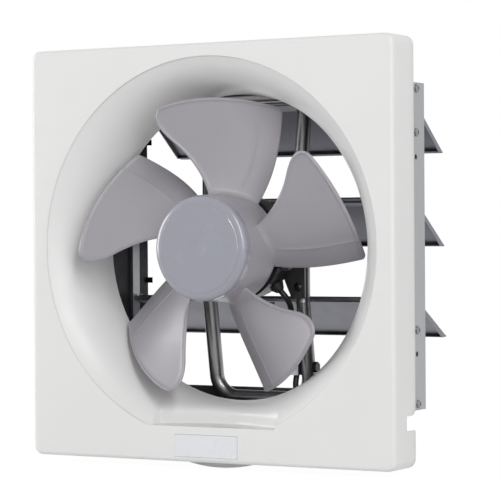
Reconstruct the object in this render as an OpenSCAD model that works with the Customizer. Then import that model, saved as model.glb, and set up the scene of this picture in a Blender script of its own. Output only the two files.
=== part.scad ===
// Wall and window exhaust fan with a bell-mouthed front panel, a five-blade
// impeller and three hinged outdoor louvres.
// X is to the right, +Y runs outdoors, +Z is up. The origin is on the fan axis,
// in the plane where the steel flange meets the wall.

/* [Front panel] */
// Width of the square front panel
panel_w = 350; // [340:1:380]
// Height of the square front panel
panel_h = 350; // [345:1:380]
// Depth of the panel, from its face to the wall
panel_d = 38.5; // [34:0.5:46]
// Wall of the moulded panel
panel_wall = 2.5; // [2:0.1:3.5]
// Radius of the panel's four corners, seen from the front
panel_corner_r = 8; // [5:0.5:14]
// Radius along the edge of the panel's face
panel_edge_r = 4; // [3:0.5:6]
// How far the panel's centre lies below the fan axis
panel_drop = 4; // [0:0.5:8]
// Width of the flat land between the bell mouth and the nearest side of the panel
flare_land = 14.5; // [11:0.5:19]
// Width of the bell mouth, from its throat to its edge on the face
flare_step = 30; // [26:0.5:34]
// Depth of the throat's rear edge behind the face
throat_d = 60; // [50:1:70]
// Wall of the bell mouth
flare_wall = 2.2; // [1.8:0.1:3]

/* [Finger grip] */
// Left end of the finger grip, from the fan axis
grip_left = 55; // [45:1:60]
// Right end of the finger grip, from the fan axis
grip_right = 65; // [50:1:68]
// How far the grip's ledge lies inside the edge of the bell mouth
grip_in = 11.5; // [8:0.5:13]
// Height of the finger grip above its ledge
grip_h = 13; // [10:0.5:16]

/* [Name plate] */
// Width of the bare name plate
plate_w = 60; // [40:1:80]
// Height of the bare name plate
plate_h = 18.5; // [12:0.5:20]
// Thickness of the name plate
plate_t = 1; // [0.8:0.1:1.4]
// Depth of the seat that the name plate sits in
plate_seat = 0.7; // [0.4:0.1:0.8]
// Gap under the grip's ledge, to the top of the name plate
plate_gap = 7; // [5:0.5:10]

/* [Cord notch and oil tray] */
// Height of the notch in the panel's right side
notch_h = 12; // [8:0.5:16]
// How far the notch runs forward from the wall
notch_d = 16; // [10:0.5:22]
// Height of the notch's centre above the panel's lower edge
notch_up = 37; // [30:1:44]
// Radius of the rounded shoulder above the notch
notch_r = 7; // [4:0.5:9]
// Width of the oil tray under the panel
tray_w = 80; // [60:1:90]
// How far the oil tray bulges below the panel
tray_bulge = 6; // [4:0.1:7]
// Depth of the oil tray, front to back
tray_d = 13; // [10:0.5:16]
// Wall of the oil tray
tray_wall = 1.2; // [1:0.1:1.6]

/* [Steel body] */
// How far the body's side plates lie inside the panel's sides
body_in_x = 35; // [34:0.5:37]
// How far the body's top and bottom plates lie inside the panel's height
body_in_z = 36.5; // [35:0.5:36.5]
// Depth of the steel body behind the wall face
body_d = 92.5; // [88:0.5:110]
// Thickness of the body's sheet steel
sheet = 1; // [0.8:0.1:1.2]
// Width of the flange round the front of the body
flange_w = 20; // [16:1:22]
// Height of the lip along the top plate's rear edge
lip_h = 13; // [8:0.5:13.5]
// Height of the low sill along the bottom plate's rear edge
sill_h = 7; // [5:0.5:9]
// Height of the stop strip that the lower louvre closes against
stop_h = 14.5; // [12:0.5:16]
// Radius of the screw holes in the flange
flange_hole_r = 2.75; // [2:0.25:3]
// Radius of the screw holes in the side plates
side_hole_r = 2.25; // [1.5:0.25:3]
// Height of the upper side screw hole above the fan axis
side_hole_up = 75.5; // [60:0.5:85]
// Height of the lower side screw hole below the fan axis
side_hole_down = 91; // [85:0.5:100]
// Distance of the side screw holes from the body's rear edge
side_hole_in = 16.5; // [12:0.5:20]

/* [Louvres] */
// Height of the upper louvre's hinge below the body's ceiling
hinge_drop = 13; // [12:0.5:14]
// Height of the body that the three louvres leave free when they are shut
louvre_spare = 22; // [20:0.5:24]
// Distance of the louvre hinges from the body's rear edge
hinge_in = 21; // [19:0.5:22]
// Length of a louvre's head, from hinge to bend
head_l = 22.5; // [20:0.5:23]
// Angle of a louvre's bend
bend_a = 23.5; // [18:0.5:26]
// Thickness of a louvre's sheet
louvre_t = 0.9; // [0.7:0.1:1.2]
// Depth of the lips at a louvre's ends
end_lip = 4; // [3:0.5:6]
// Length of the lip that is folded back along a louvre's lower edge
low_lip = 6; // [4:0.5:6.5]
// Angle by which that lip points up, towards the room, on a shut louvre
lip_a = 52; // [45:1:58]
// Radius of the rolled hem along a louvre's hinge
hem_r = 2.6; // [2.4:0.1:3]
// Radius of a louvre's hinge pins
pin_r = 1.6; // [1.4:0.1:1.8]
// Angle that the upper louvre stands open
open_a = 52.5; // [0:0.5:60]
// Angle that the middle louvre stands open
open_mid_a = 55.5; // [0:0.5:60]
// Angle that the lower louvre stands open
open_low_a = 60; // [0:0.5:64]
// Gap between a louvre's end and the rail beside it
end_gap = 2.7; // [2:0.1:4]

/* [Impeller] */
// Number of blades
blades = 5; // [3:1:6]
// Gap between the blade tips and the throat
tip_gap = 4.5; // [3.5:0.5:8]
// Radius of the hub at its front shoulder
hub_front_r = 44; // [43:0.5:46]
// Radius of the hub at its rear rim
hub_rear_r = 46.4; // [46:0.1:48]
// Distance of the hub's flat cap in front of the panel's face
cap_proud = 10; // [6:0.5:14]
// Depth of the hub's rear rim behind the panel's face
hub_rear_d = 41; // [38:0.5:43]
// Wall of the hub
hub_wall = 2.8; // [2.2:0.1:3]
// Thickness of a blade
blade_t = 1.9; // [1.5:0.1:2.6]
// Angle of the blade's leading edge at the hub
lead_root_a = 24; // [18:0.5:28]
// Angle that the leading edge sweeps forward by the tip
lead_sweep_a = 24.4; // [15:0.2:30]
// Angle of the blade's trailing edge at the hub
trail_root_a = -20.5; // [-26:0.5:-16]
// Angle that the trailing edge sweeps forward by the tip
trail_sweep_a = 16.2; // [8:0.2:24]
// Depth of the leading edge behind the face, at the hub
lead_root_d = 15.5; // [13:0.5:20]
// Depth of the leading edge behind the face, at the tip
lead_tip_d = -7; // [-8:0.5:2]
// Depth of the trailing edge behind the face, at the hub
trail_root_d = 41; // [36:0.5:42]
// Depth of the trailing edge behind the face, at the tip
trail_tip_d = 49.2; // [44:0.2:51]
// Camber of the blade at the tip
camber = 9; // [4:0.5:11]
// Radius of the blade's leading corner
lead_corner_r = 30; // [15:1:34]
// Radius of the blade's trailing corner
trail_corner_r = 4; // [3:0.5:8]

/* [Motor] */
// Radius of the motor's front shell, inside the hub
motor_r = 39.5; // [37:0.5:40]
// Radius of the motor's rear shell
motor_rear_r = 44; // [42:0.5:45]
// Wall of the motor's shells
shell_wall = 2; // [1.6:0.1:2.5]
// Radius of the motor's joint flange
joint_r = 46; // [44:0.5:48]
// Thickness of each half of the joint flange
joint_t = 3; // [2.5:0.5:4]
// Radius of the motor shaft
shaft_r = 4; // [3.5:0.25:5]
// Depth of the motor's front face inside the hub, behind the panel's face
motor_front_d = 20; // [18:0.5:24]
// Outer radius of the shaft bearings
bearing_r = 8; // [7:0.5:9]
// Width of the shaft bearings
bearing_w = 7; // [6:0.5:8]
// Radial running clearance of the shaft
shaft_fit = 0.05; // [0.02:0.01:0.08]

/* [Motor stay] */
// Outer radius of the stay's tube
tube_r = 6.35; // [5.5:0.05:7]
// Distance between the stay's two arms, centre to centre
stay_w = 92; // [88:1:96]
// Distance of the arms behind the wall face, at the motor
stay_y = 47.5; // [46:0.5:50]
// Depth of the arms' lower bends below the fan axis
stay_knee = 47; // [46:1:52]
// Height of the arms' upper bends above the fan axis
stay_knee_up = 80; // [46:1:85]
// Distance of the stay's bottom run in front of the louvre hinges
stay_in = 10.5; // [9.5:0.5:14]
// Radius of the stay's corner bends
stay_bend_r = 20; // [16:1:24]
// Thickness of the motor plate
mount_t = 2; // [1.5:0.1:3]

/* [Wiring] */
// Radius of the motor lead
lead_r = 2.5; // [2:0.1:2.8]
// Width of the terminal block
block_w = 18; // [14:1:19]
// Height of the terminal block
block_h = 24; // [20:1:26]
// Depth of the terminal block
block_d = 30; // [24:1:32]

/* [Fits] */
// Gap between pieces that are laid side by side
gap = 0.3; // [0.2:0.05:0.4]
// Radial running clearance of hinge pins
pin_fit = 0.08; // [0.04:0.01:0.1]
// Radius of the shanks of the small screws
screw_r = 1.9; // [1.7:0.1:2]
// Radius of the heads of the small screws
screw_head_r = 3.6; // [3.2:0.1:3.8]
// Height of the heads of the small screws
screw_head_h = 2.2; // [1.6:0.1:2.4]

/* [Hidden] */
$fn = 64;
eps = 0.01;        // overlap that keeps a cut or a union clean
over = 1;          // how far a cutting tool runs past what it cuts
fine = 128;        // sides of the large rounds

face_y = -panel_d;
inner_face_y = face_y + panel_wall;
flare_r = min(panel_w, panel_h) / 2 - flare_land;
throat_r = flare_r - flare_step;
tip_r = throat_r - tip_gap;
body_x = panel_w / 2 - body_in_x;
body_z = panel_h / 2 - body_in_z;
inner_x = body_x - sheet;
inner_z = body_z - sheet;
floor_z = -inner_z;
hinge_y = body_d - hinge_in;

// ---------------------------------------------------------------- helpers

// Turns a shape drawn along Z so that its Z runs along +Y
module about_y() rotate([-90, 0, 0]) children();

// Turns a shape drawn along Z so that its Z runs along +X
module along_x() rotate([0, 90, 0]) children();

// Extrudes an outline drawn in X and Z from y = front to y = back
module extrude_y(front, back)
    translate([0, back, 0]) rotate([90, 0, 0]) linear_extrude(back - front) children();

// Extrudes an outline drawn in Y and Z along X
module extrude_x(low, high)
    translate([low, 0, 0]) rotate([90, 0, 90]) linear_extrude(high - low) children();

module block(low, high) translate(low) cube(high - low);

// Rectangle centred on the origin with round corners
module round_rect(w, h, r) {
    square([w - 2 * r, h], center = true);
    square([w, h - 2 * r], center = true);
    for (x = [-1, 1], z = [-1, 1])
        translate([x * (w / 2 - r), z * (h / 2 - r)]) circle(r);
}

// Rectangle from depth 0 to d, round at the two corners of its front edge
module front_rounded(w, d, r) {
    translate([-w / 2, r]) square([w, d - r]);
    translate([-w / 2 + r, 0]) square([w - 2 * r, d]);
    for (x = [-1, 1]) translate([x * (w / 2 - r), r]) circle(r);
}

// Small pan-head screw: its head sits on z = 0, its shank points to -Z
module pan_screw(shank, head_r = screw_head_r, head_h = screw_head_h, r = screw_r) {
    difference() {
        rotate_extrude() {
            square([head_r, head_h * 0.45]);
            intersection() {
                translate([0, head_h - head_r * 1.6]) circle(head_r * 1.6);
                square([head_r, head_h]);
            }
        }
        for (a = [0, 90])
            rotate(a) translate([-head_r * 0.6, -0.4, head_h * 0.55]) cube([head_r * 1.2, 0.8, head_h]);
    }
    translate([0, 0, -shank]) cylinder(r = r, h = shank + eps);
}

// ------------------------------------------------------------ front panel

flare_arc = (flare_step * flare_step + throat_d * throat_d) / (2 * flare_step);
flare_points = 20;

// Radius of the bell mouth at a depth behind the face
function flare_at(d) = throat_r + flare_arc - sqrt(pow(flare_arc, 2) - pow(throat_d - d, 2));
// Slope of the bell mouth at a depth behind the face
function flare_slope(d) = (throat_d - d) / sqrt(pow(flare_arc, 2) - pow(throat_d - d, 2));
function flare_depth(i) = throat_d * i / flare_points;
// Radius of the bell mouth's outer skin at a depth behind the face
function flare_skin(d) = flare_at(d) + flare_wall * sqrt(1 + pow(flare_slope(d), 2));

chin_z = grip_in - flare_r;
grip_top = chin_z + grip_h;
grip_points = 24;
chin_wall = 0.9 * panel_wall;           // wall of the grip's ledge
plate_z = chin_z - plate_gap - plate_h / 2;
panel_low = -panel_drop - panel_h / 2;
notch_z = panel_low + notch_up;
clip_x = 100;          // panel clips from the centre line
clip_z = body_z + flange_w / 2 + 1;
post_w = 8;
post_t = 5;
post_d = 12;           // gap from a panel post's end to the wall plane
tray_y = -8;           // centre of the oil tray, from the wall plane
tray_rim = 2.4;        // width of the tray's rim inside the panel
tray_r = (pow(tray_w / 2, 2) + pow(tray_bulge, 2)) / (2 * tray_bulge);

module panel_blank(inset) {
    w = panel_w - 2 * inset;
    h = panel_h - 2 * inset;
    d = panel_d - inset + (inset > 0 ? over : 0);
    corner = panel_corner_r - inset;
    edge = max(panel_edge_r - inset, 1);
    translate([0, face_y + inset, -panel_drop])
        intersection() {
            extrude_y(0, d) round_rect(w, h, corner);
            translate([0, 0, -h / 2]) linear_extrude(h) front_rounded(w, d, edge);
            extrude_x(-w / 2, w / 2) rotate(90) mirror([0, 1]) front_rounded(h, d, edge);
        }
}

module flare_solid()
    translate([0, face_y, 0]) about_y() rotate_extrude($fn = fine)
        polygon(concat(
            [[0, panel_wall / 2], [flare_skin(panel_wall / 2), panel_wall / 2]],
            [for (i = [1:flare_points]) [flare_skin(flare_depth(i)), flare_depth(i)]],
            [[0, throat_d]]));

module flare_air()
    translate([0, face_y, 0]) about_y() rotate_extrude($fn = fine)
        polygon(concat(
            [[0, -over], [flare_r + over * flare_slope(0), -over]],
            [for (i = [0:flare_points]) [flare_at(flare_depth(i)), flare_depth(i)]],
            [[throat_r, throat_d + over], [0, throat_d + over]]));

// Depth of the bell mouth at a radius
function mouth_depth(r) = throat_d - sqrt(pow(flare_arc, 2) - pow(flare_arc + throat_r - r, 2));

// Pocket for the fingers: the bell mouth's section at the grip's top runs on
// straight down from there to the ledge
module grip_pocket(grow)
    translate([0, 0, chin_z - grow]) linear_extrude(grip_h + grow + (grow > 0 ? 0 : eps))
        polygon(concat(
            [[grip_right + grow, face_y - (grow > 0 ? 0 : over)],
             [-grip_left - grow, face_y - (grow > 0 ? 0 : over)]],
            [for (i = [0:grip_points])
                let (x = -grip_left - grow + (grip_left + grip_right + 2 * grow) * i / grip_points)
                [x, face_y + mouth_depth(norm([x, grip_top])) + grow]]));

// Bar between the finger grip and the name plate
module chin()
    block([-flare_r / 2, face_y - over - eps, -flare_r - over],
          [flare_r / 2, face_y + throat_d / 2, chin_z]);

module chin_hollow()
    block([-flare_r / 2 + panel_wall, inner_face_y, -flare_skin(0) - over],
          [flare_r / 2 - panel_wall, over, chin_z - chin_wall]);

module panel_posts()
    for (x = [-1, 1], z = [-1, 1])
        translate([x * clip_x, 0, z * clip_z])
            block([-post_w / 2, inner_face_y - eps, -post_t / 2],
                  [post_w / 2, -post_d, post_t / 2]);

module cord_notch()
    extrude_x(panel_w / 2 - 2 * panel_corner_r, panel_w / 2 + over)
        translate([0, notch_z]) {
            translate([-notch_d, -notch_h / 2]) square([notch_d + over, notch_h]);
            difference() {
                translate([-notch_r, notch_h / 2 - eps]) square([notch_r + over, notch_r + eps]);
                translate([-notch_r, notch_h / 2 + notch_r]) circle(notch_r);
            }
        }

module front_panel() color([0.93, 0.93, 0.92]) {
    difference() {
        union() {
            difference() {
                panel_blank(0);
                panel_blank(panel_wall);
            }
            intersection() {
                union() {
                    flare_solid();
                    grip_pocket(panel_wall);
                }
                union() {
                    panel_blank(panel_wall / 2);
                    block([-throat_r * 2, -over, -throat_r * 2],
                          [throat_r * 2, throat_d, throat_r * 2]);
                }
            }
            panel_posts();
        }
        difference() {
            flare_air();
            chin();
        }
        grip_pocket(0);
        chin_hollow();
        cord_notch();
        translate([0, face_y + plate_seat, plate_z])
            extrude_y(-plate_seat - over, 0) square([plate_w + gap, plate_h + gap], center = true);
        translate([0, tray_y, panel_low])
            block([-tray_w / 2 - gap, -tray_d / 2 - gap, -over],
                  [tray_w / 2 + gap, tray_d / 2 + gap, panel_wall + over]);
    }
}

module name_plate() color([0.86, 0.88, 0.91])
    translate([0, face_y + plate_seat, plate_z])
        extrude_y(-plate_t, 0) round_rect(plate_w, plate_h, 1);

// Shallow cup whose rim lies inside the panel and whose belly shows below it
module oil_tray() color([0.68, 0.70, 0.70]) {
    rim_z = panel_wall;
    translate([0, tray_y, panel_low])
        difference() {
            union() {
                extrude_y(-tray_d / 2, tray_d / 2) intersection() {
                    translate([0, tray_r - tray_bulge]) circle(tray_r, $fn = fine);
                    translate([-tray_w / 2, -tray_bulge]) square([tray_w, rim_z + tray_bulge + tray_wall]);
                }
                block([-tray_w / 2 - tray_rim, -tray_d / 2 - tray_rim / 2, rim_z],
                      [tray_w / 2 + tray_rim, tray_d / 2 + tray_rim / 2, rim_z + tray_wall]);
            }
            extrude_y(-tray_d / 2 + tray_wall, tray_d / 2 - tray_wall) intersection() {
                translate([0, tray_r - tray_bulge]) circle(tray_r - tray_wall, $fn = fine);
                translate([-tray_w / 2 + tray_wall, -tray_bulge])
                    square([tray_w - 2 * tray_wall, rim_z + tray_bulge + tray_wall + over]);
            }
        }
}

clip_t = 0.8;
clip_base = 16;

// Spring clips on the flange that grip the posts inside the panel
module panel_clips() color([0.72, 0.73, 0.74])
    for (x = [-1, 1], z = [-1, 1])
        translate([x * clip_x, -sheet, z * clip_z]) {
            block([-post_w / 2, -clip_t, -clip_base / 2], [post_w / 2, 0, clip_base / 2]);
            for (s = [-1, 1])
                scale([1, 1, s])
                    block([-post_w / 2, -post_d - post_t, post_t / 2 + gap],
                          [post_w / 2, -clip_t + eps, post_t / 2 + gap + clip_t]);
        }

// ------------------------------------------------------------- steel body

tab_w = 24;             // folded tabs that join the body's plates
tab_h = 9;
corner_y = [20, body_d - tab_w / 2 - 2.5];      // corner screws behind the wall face
corner_in = tab_h / 2 - 0.5;
lug_w = 5;
lug_z = [95, -30];
rail_screw_z = [96.3, -70.8];
rail_screw_y = body_d - 15.5;
side_hole_y = body_d - side_hole_in;
flange_x = body_x + flange_w / 2;
flange_z = body_z + flange_w / 2;

module x_hole(y, z, r, x = 0)
    translate([x, y, z]) along_x() cylinder(r = r, h = 4 * sheet, center = true);

// Right side plate; the left one is its mirror image
module side_plate() difference() {
    union() {
        block([inner_x, -sheet, -body_z], [body_x, body_d, body_z]);
        block([inner_x, -sheet, -body_z], [body_x + flange_w, 0, body_z]);
        for (z = lug_z)
            block([inner_x - lug_w, body_d - sheet, z - lug_w / 2], [inner_x + eps, body_d, z + lug_w / 2]);
    }
    x_hole(side_hole_y, side_hole_up, side_hole_r, body_x);
    x_hole(side_hole_y, -side_hole_down, side_hole_r, body_x);
    for (z = rail_screw_z) x_hole(rail_screw_y, z, screw_r + pin_fit, body_x);
    for (y = corner_y, s = [-1, 1]) x_hole(y, s * (inner_z - corner_in), screw_r + pin_fit, body_x);
}

module side_plate_right() color([0.66, 0.68, 0.69]) side_plate();
module side_plate_left() color([0.66, 0.68, 0.69]) mirror([1, 0, 0]) side_plate();

// Top plate with a lip along its rear edge; the bottom one is its mirror image
module end_plate(lip, screw_y) difference() {
    union() {
        block([-inner_x, -sheet, inner_z], [inner_x, body_d, body_z]);
        block([-body_x - flange_w, -sheet, body_z], [body_x + flange_w, 0, body_z + flange_w]);
        block([-inner_x, -sheet, inner_z], [inner_x, 0, body_z + flange_w]);
        block([-inner_x, body_d - sheet, body_z - lip], [inner_x, body_d, body_z]);
        for (x = [-1, 1], y = corner_y)
            scale([x, 1, 1])
                block([inner_x - sheet, y - tab_w / 2, inner_z - tab_h],
                      [inner_x, y + tab_w / 2, inner_z + eps]);
    }
    for (x = [-1, 1])
        translate([x * flange_x, 0, flange_z]) about_y()
            cylinder(r = flange_hole_r, h = 4 * sheet, center = true);
    for (x = [-1, 1], y = corner_y) x_hole(y, inner_z - corner_in, screw_r, x * inner_x);
    for (x = [-1, 1])
        translate([x * stay_screw_x, screw_y, body_z])
            cylinder(r = screw_r + pin_fit, h = 4 * sheet, center = true);
}

module top_plate() color([0.62, 0.64, 0.65]) end_plate(lip_h, run_y(1));
module bottom_plate() color([0.62, 0.64, 0.65]) mirror([0, 0, 1]) end_plate(sill_h, run_y(-1));

module corner_screws() color([0.80, 0.81, 0.82])
    for (x = [-1, 1], s = [-1, 1], y = corner_y)
        scale([x, 1, s]) translate([body_x, y, inner_z - corner_in]) along_x() pan_screw(2 * sheet + 2);

// ---------------------------------------------------------------- louvres

rail_t = 1.2;
rail_ahead = 8.5;                         // raised web of the rail, in front of the hinges
rail_behind = 3.5;
rail_front = hinge_y - rail_ahead;
rail_rear = hinge_y + rail_behind;
rail_foot = body_d - 8.5;                 // rear edge of the foot that the screws hold
rail_in = inner_x - 1.6 - rail_t;         // face of the web beside the louvres
louvre_x = rail_in - end_gap;
rail_top = inner_z - tab_h - 2;
louvre_pitch = (2 * body_z - louvre_spare) / 3;
tail_l = louvre_pitch - head_l;           // from a louvre's bend to its lower edge
hinge_z = [for (i = [0:2]) inner_z - hinge_drop - i * louvre_pitch];
louvre_open = [open_a, open_mid_a, open_low_a];
pin_in = 4;            // length of a pin inside the louvre's hem

// Folded strip that carries the louvres' pins on the right; mirrored on the left
module rail() difference() {
    translate([0, 0, -rail_top]) linear_extrude(2 * rail_top) polygon([
        [inner_x, rail_front], [rail_in, rail_front], [rail_in, rail_rear],
        [inner_x - rail_t, rail_rear], [inner_x - rail_t, rail_foot], [inner_x, rail_foot],
        [inner_x, rail_rear - rail_t], [rail_in + rail_t, rail_rear - rail_t],
        [rail_in + rail_t, rail_front + rail_t], [inner_x, rail_front + rail_t]]);
    for (z = hinge_z)
        translate([0, hinge_y, z]) along_x() cylinder(r = pin_r + pin_fit, h = 2 * body_x);
    for (z = rail_screw_z)
        translate([0, rail_screw_y, z]) along_x() cylinder(r = screw_r, h = 2 * body_x);
}

module rail_right() color([0.74, 0.75, 0.76]) rail();
module rail_left() color([0.74, 0.75, 0.76]) mirror([1, 0, 0]) rail();

module rail_screws() color([0.80, 0.81, 0.82])
    for (x = [-1, 1], z = rail_screw_z)
        scale([x, 1, 1]) translate([body_x, rail_screw_y, z]) along_x()
            pan_screw(sheet + rail_t + 0.5);

// A strip of the louvre's section: from the hinge side, thickness to the rear
module strip(length, depth) translate([-depth, -length]) square([depth + louvre_t / 2, length]);

stop_y = hinge_y + head_l * sin(bend_a) - end_lip - gap;    // rear face of the stop strip
stop_foot = 12;

// Angle strip on the body's floor, just in front of the closed lower louvre
module louvre_stop() color([0.30, 0.31, 0.32]) {
    extrude_x(-rail_in + gap, rail_in - gap) translate([stop_y, -inner_z]) {
        translate([-sheet, 0]) square([sheet, stop_h]);
        translate([-sheet, 0]) square([stop_foot, sheet]);
    }
}

// Moves from the hinge to the bend, closed louvre, in Y and Z
module at_bend() translate([head_l * sin(bend_a), -head_l * cos(bend_a)]) children();

module louvre_sheet() {
    rotate(bend_a) strip(head_l, louvre_t / 2);
    at_bend() {
        strip(tail_l, louvre_t / 2);
        translate([louvre_t / 2, -tail_l]) rotate(180 - lip_a) translate([0, -louvre_t])
            square([low_lip, louvre_t]);
        circle(louvre_t / 2, $fn = 24);
    }
    circle(hem_r, $fn = 32);
}

module louvre_end() {
    rotate(bend_a) strip(head_l + end_lip * tan(bend_a / 2), end_lip);
    at_bend() polygon([
        [louvre_t / 2, 0], [-end_lip, 0],
        [-end_lip, -tail_l + (end_lip + louvre_t / 2) * tan(lip_a)],
        [louvre_t / 2, -tail_l]]);
    circle(hem_r + louvre_t, $fn = 32);
}

// One louvre in its hinge's place, turned open
module on_hinge(i)
    translate([0, hinge_y, hinge_z[i]]) rotate([louvre_open[i], 0, 0]) children();

module louvre(i) color([0.47, 0.48, 0.50]) on_hinge(i) difference() {
    union() {
        extrude_x(-louvre_x, louvre_x) louvre_sheet();
        for (x = [-1, 1])
            scale([x, 1, 1]) extrude_x(louvre_x - louvre_t, louvre_x) louvre_end();
    }
    for (x = [-1, 1])
        scale([x, 1, 1]) translate([louvre_x - pin_in, 0, 0]) along_x() cylinder(r = pin_r, h = 2 * pin_in);
}

module louvre_pins(i) color([0.70, 0.71, 0.72]) on_hinge(i)
    for (x = [-1, 1])
        scale([x, 1, 1]) translate([louvre_x - pin_in, 0, 0]) along_x()
            cylinder(r = pin_r, h = inner_x - gap - louvre_x + pin_in);

weight_x = -9;
weight_w = 4;
weight_t = 3;

// Balance weight riveted under the louvre's head
module louvre_weight(i) color([0.20, 0.20, 0.21]) on_hinge(i)
    extrude_x(weight_x - weight_w / 2, weight_x + weight_w / 2)
        rotate(bend_a) translate([-louvre_t / 2 - weight_t, -head_l + louvre_t])
            square([weight_t, head_l - hem_r - 2 * louvre_t]);

// ------------------------------------------------------------- motor stay

stay_x = stay_w / 2;
stay_run_z = inner_z - tube_r;                               // height of the top and bottom runs
stay_run_y = hinge_y - stay_in;
stay_lean = atan2(stay_run_y - stay_y, stay_run_z - stay_knee);  // the arms lean back beyond their knees
stay_top_y = stay_y + (stay_run_z - stay_knee_up) * tan(stay_lean);
stay_screw_x = 22;
stay_screw_in = 6;
mount_y = stay_y - tube_r - mount_t;                         // front of the motor plate

// Depth of the stay's top run, at 1, or of its bottom run, at -1
function run_y(side) = side > 0 ? stay_top_y : stay_run_y;

// Depth of an arm's middle line at a height below its lower bend
function arm_y(z) = stay_y - (z + stay_knee) * tan(stay_lean);
plate_screw_z = 34;

knee_swell = 0.1;                                            // swelling of the tube at its slight bends

// Half of the tube, from the middle of the arms over the top run, with its bends at a height
module stay_half(knee) {
    leg = (stay_run_z - knee) / cos(stay_lean);
    for (x = [-1, 1]) translate([x * stay_x, stay_y, 0]) {
        cylinder(r = tube_r, h = knee);
        translate([0, 0, knee]) sphere(tube_r + knee_swell);
    }
    translate([0, stay_y, knee]) rotate([-stay_lean, 0, 0]) {
        for (x = [-1, 1]) {
            translate([x * stay_x, 0, 0]) cylinder(r = tube_r, h = leg - stay_bend_r);
            translate([x * (stay_x - stay_bend_r), 0, leg - stay_bend_r]) rotate([90, 0, 0])
                rotate(x > 0 ? 0 : 90) rotate_extrude(angle = 90) translate([stay_bend_r, 0]) circle(tube_r);
        }
        translate([-stay_x + stay_bend_r, 0, leg]) along_x()
            cylinder(r = tube_r, h = stay_w - 2 * stay_bend_r);
    }
}

module motor_stay() color([0.16, 0.16, 0.17]) difference() {
    union() {
        stay_half(stay_knee_up);
        mirror([0, 0, 1]) stay_half(stay_knee);
    }
    for (x = [-1, 1], s = [-1, 1]) {
        scale([1, 1, s]) translate([x * stay_screw_x, run_y(s), inner_z - stay_screw_in])
            cylinder(r = screw_r, h = 2 * stay_screw_in);
        translate([x * stay_x, mount_y, s * plate_screw_z]) about_y()
            cylinder(r = screw_r, h = mount_t + stay_screw_in);
    }
    translate([stay_x, clamp_y, clamp_z]) along_x() cylinder(r = bolt_r, h = 4 * tube_r, center = true);
}

module stay_screws() color([0.80, 0.81, 0.82])
    for (x = [-1, 1], s = [-1, 1])
        scale([1, 1, s]) translate([x * stay_screw_x, run_y(s), body_z])
            pan_screw(stay_screw_in + sheet - gap);

wing_z = 44;           // half height of the plate's wings along the arms
waist_z = 22;          // half height of the plate behind the motor
waist_x = 30;
motor_screw = [24, 14];
boss_r = 12;           // boss round the rear bearing

// Bow-tie plate that carries the motor on the stay's two arms
module motor_plate() color([0.13, 0.13, 0.14]) difference() {
    extrude_y(mount_y, mount_y + mount_t) difference() {
        polygon([for (s = [[1, 1], [-1, 1], [-1, -1], [1, -1]])
            each (s[0] * s[1] > 0
                ? [[s[0] * (stay_x + tube_r), s[1] * wing_z / 2], [s[0] * (stay_x + tube_r), s[1] * wing_z],
                   [s[0] * (stay_x - tube_r), s[1] * wing_z], [s[0] * waist_x, s[1] * waist_z]]
                : [[s[0] * waist_x, s[1] * waist_z], [s[0] * (stay_x - tube_r), s[1] * wing_z],
                   [s[0] * (stay_x + tube_r), s[1] * wing_z],
                   [s[0] * (stay_x + tube_r), s[1] * wing_z / 2]])]);
        circle(boss_r + gap);
    }
    for (x = [-1, 1], s = [-1, 1]) {
        translate([x * stay_x, mount_y, s * plate_screw_z]) about_y()
            cylinder(r = screw_r + pin_fit, h = 4 * mount_t, center = true);
        translate([x * motor_screw[0], mount_y, s * motor_screw[1]]) about_y()
            cylinder(r = screw_r + pin_fit, h = 4 * mount_t, center = true);
    }
}

module plate_screws() color([0.30, 0.30, 0.31])
    for (x = [-1, 1], s = [-1, 1]) {
        translate([x * stay_x, mount_y, s * plate_screw_z]) rotate([90, 0, 0])
            pan_screw(mount_t + stay_screw_in - gap);
        translate([x * motor_screw[0], mount_y + mount_t, s * motor_screw[1]]) about_y()
            pan_screw(mount_t + shell_wall + 3);
    }

// ------------------------------------------------------------------ motor

joint_y = face_y + hub_rear_d + 7.5;        // front of the joint flange, clear of the blades' roots
ear_pad_r = 5;                              // round ends of the joint flange's screw ears
shell_edge = 3.5;                           // chamfer round the rear shell
front_y = face_y + motor_front_d;
rear_y = mount_y;
ear_r = 51;
ear_a = 17;
core_r = motor_r - shell_wall - gap;
core_l = 22;
core_y = joint_y - core_l / 2 + joint_t;
rotor_r = 22;
boss_l = bearing_w + 2;
boss_front_r = bearing_r + 3;

// Places of the four ears on the joint flange
module at_ears()
    for (a = [ear_a, 180 - ear_a, 180 + ear_a, -ear_a])
        rotate([0, -a, 0]) translate([ear_r, 0, 0]) children();

module joint_ears(from, to) at_ears() {
    translate([0, from, 0]) about_y() cylinder(r = ear_pad_r, h = to - from);
    block([joint_r - ear_r - 1, from, -ear_pad_r + 1], [0, to, ear_pad_r - 1]);
}

module ear_holes(r) at_ears() about_y() cylinder(r = r, h = 8 * joint_t, center = true);

module motor_front_shell() color([0.14, 0.14, 0.15]) difference() {
    union() {
        about_y() rotate_extrude() polygon([
            [0, front_y],
            [motor_r, front_y],
            [motor_r, joint_y],
            [joint_r, joint_y],
            [joint_r, joint_y + joint_t],
            [0, joint_y + joint_t]]);
        joint_ears(joint_y, joint_y + joint_t);
    }
    translate([0, front_y + shell_wall, 0]) about_y()
        difference() {
            cylinder(r = motor_r - shell_wall, h = joint_y + joint_t - front_y);
            translate([0, 0, -over]) cylinder(r = boss_front_r, h = boss_l - shell_wall + over);
        }
    translate([0, front_y, 0]) about_y() {
        translate([0, 0, boss_l - bearing_w]) cylinder(r = bearing_r, h = bearing_w + over);
        translate([0, 0, -over]) cylinder(r = shaft_r + 1, h = boss_l + 2 * over);
        for (i = [0:11]) rotate(i * 30) translate([boss_front_r + 9, 0, -over])
            cylinder(r = 3, h = shell_wall + 2 * over, $fn = 24);
    }
    translate([0, joint_y, 0]) ear_holes(screw_r + pin_fit);
}

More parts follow.
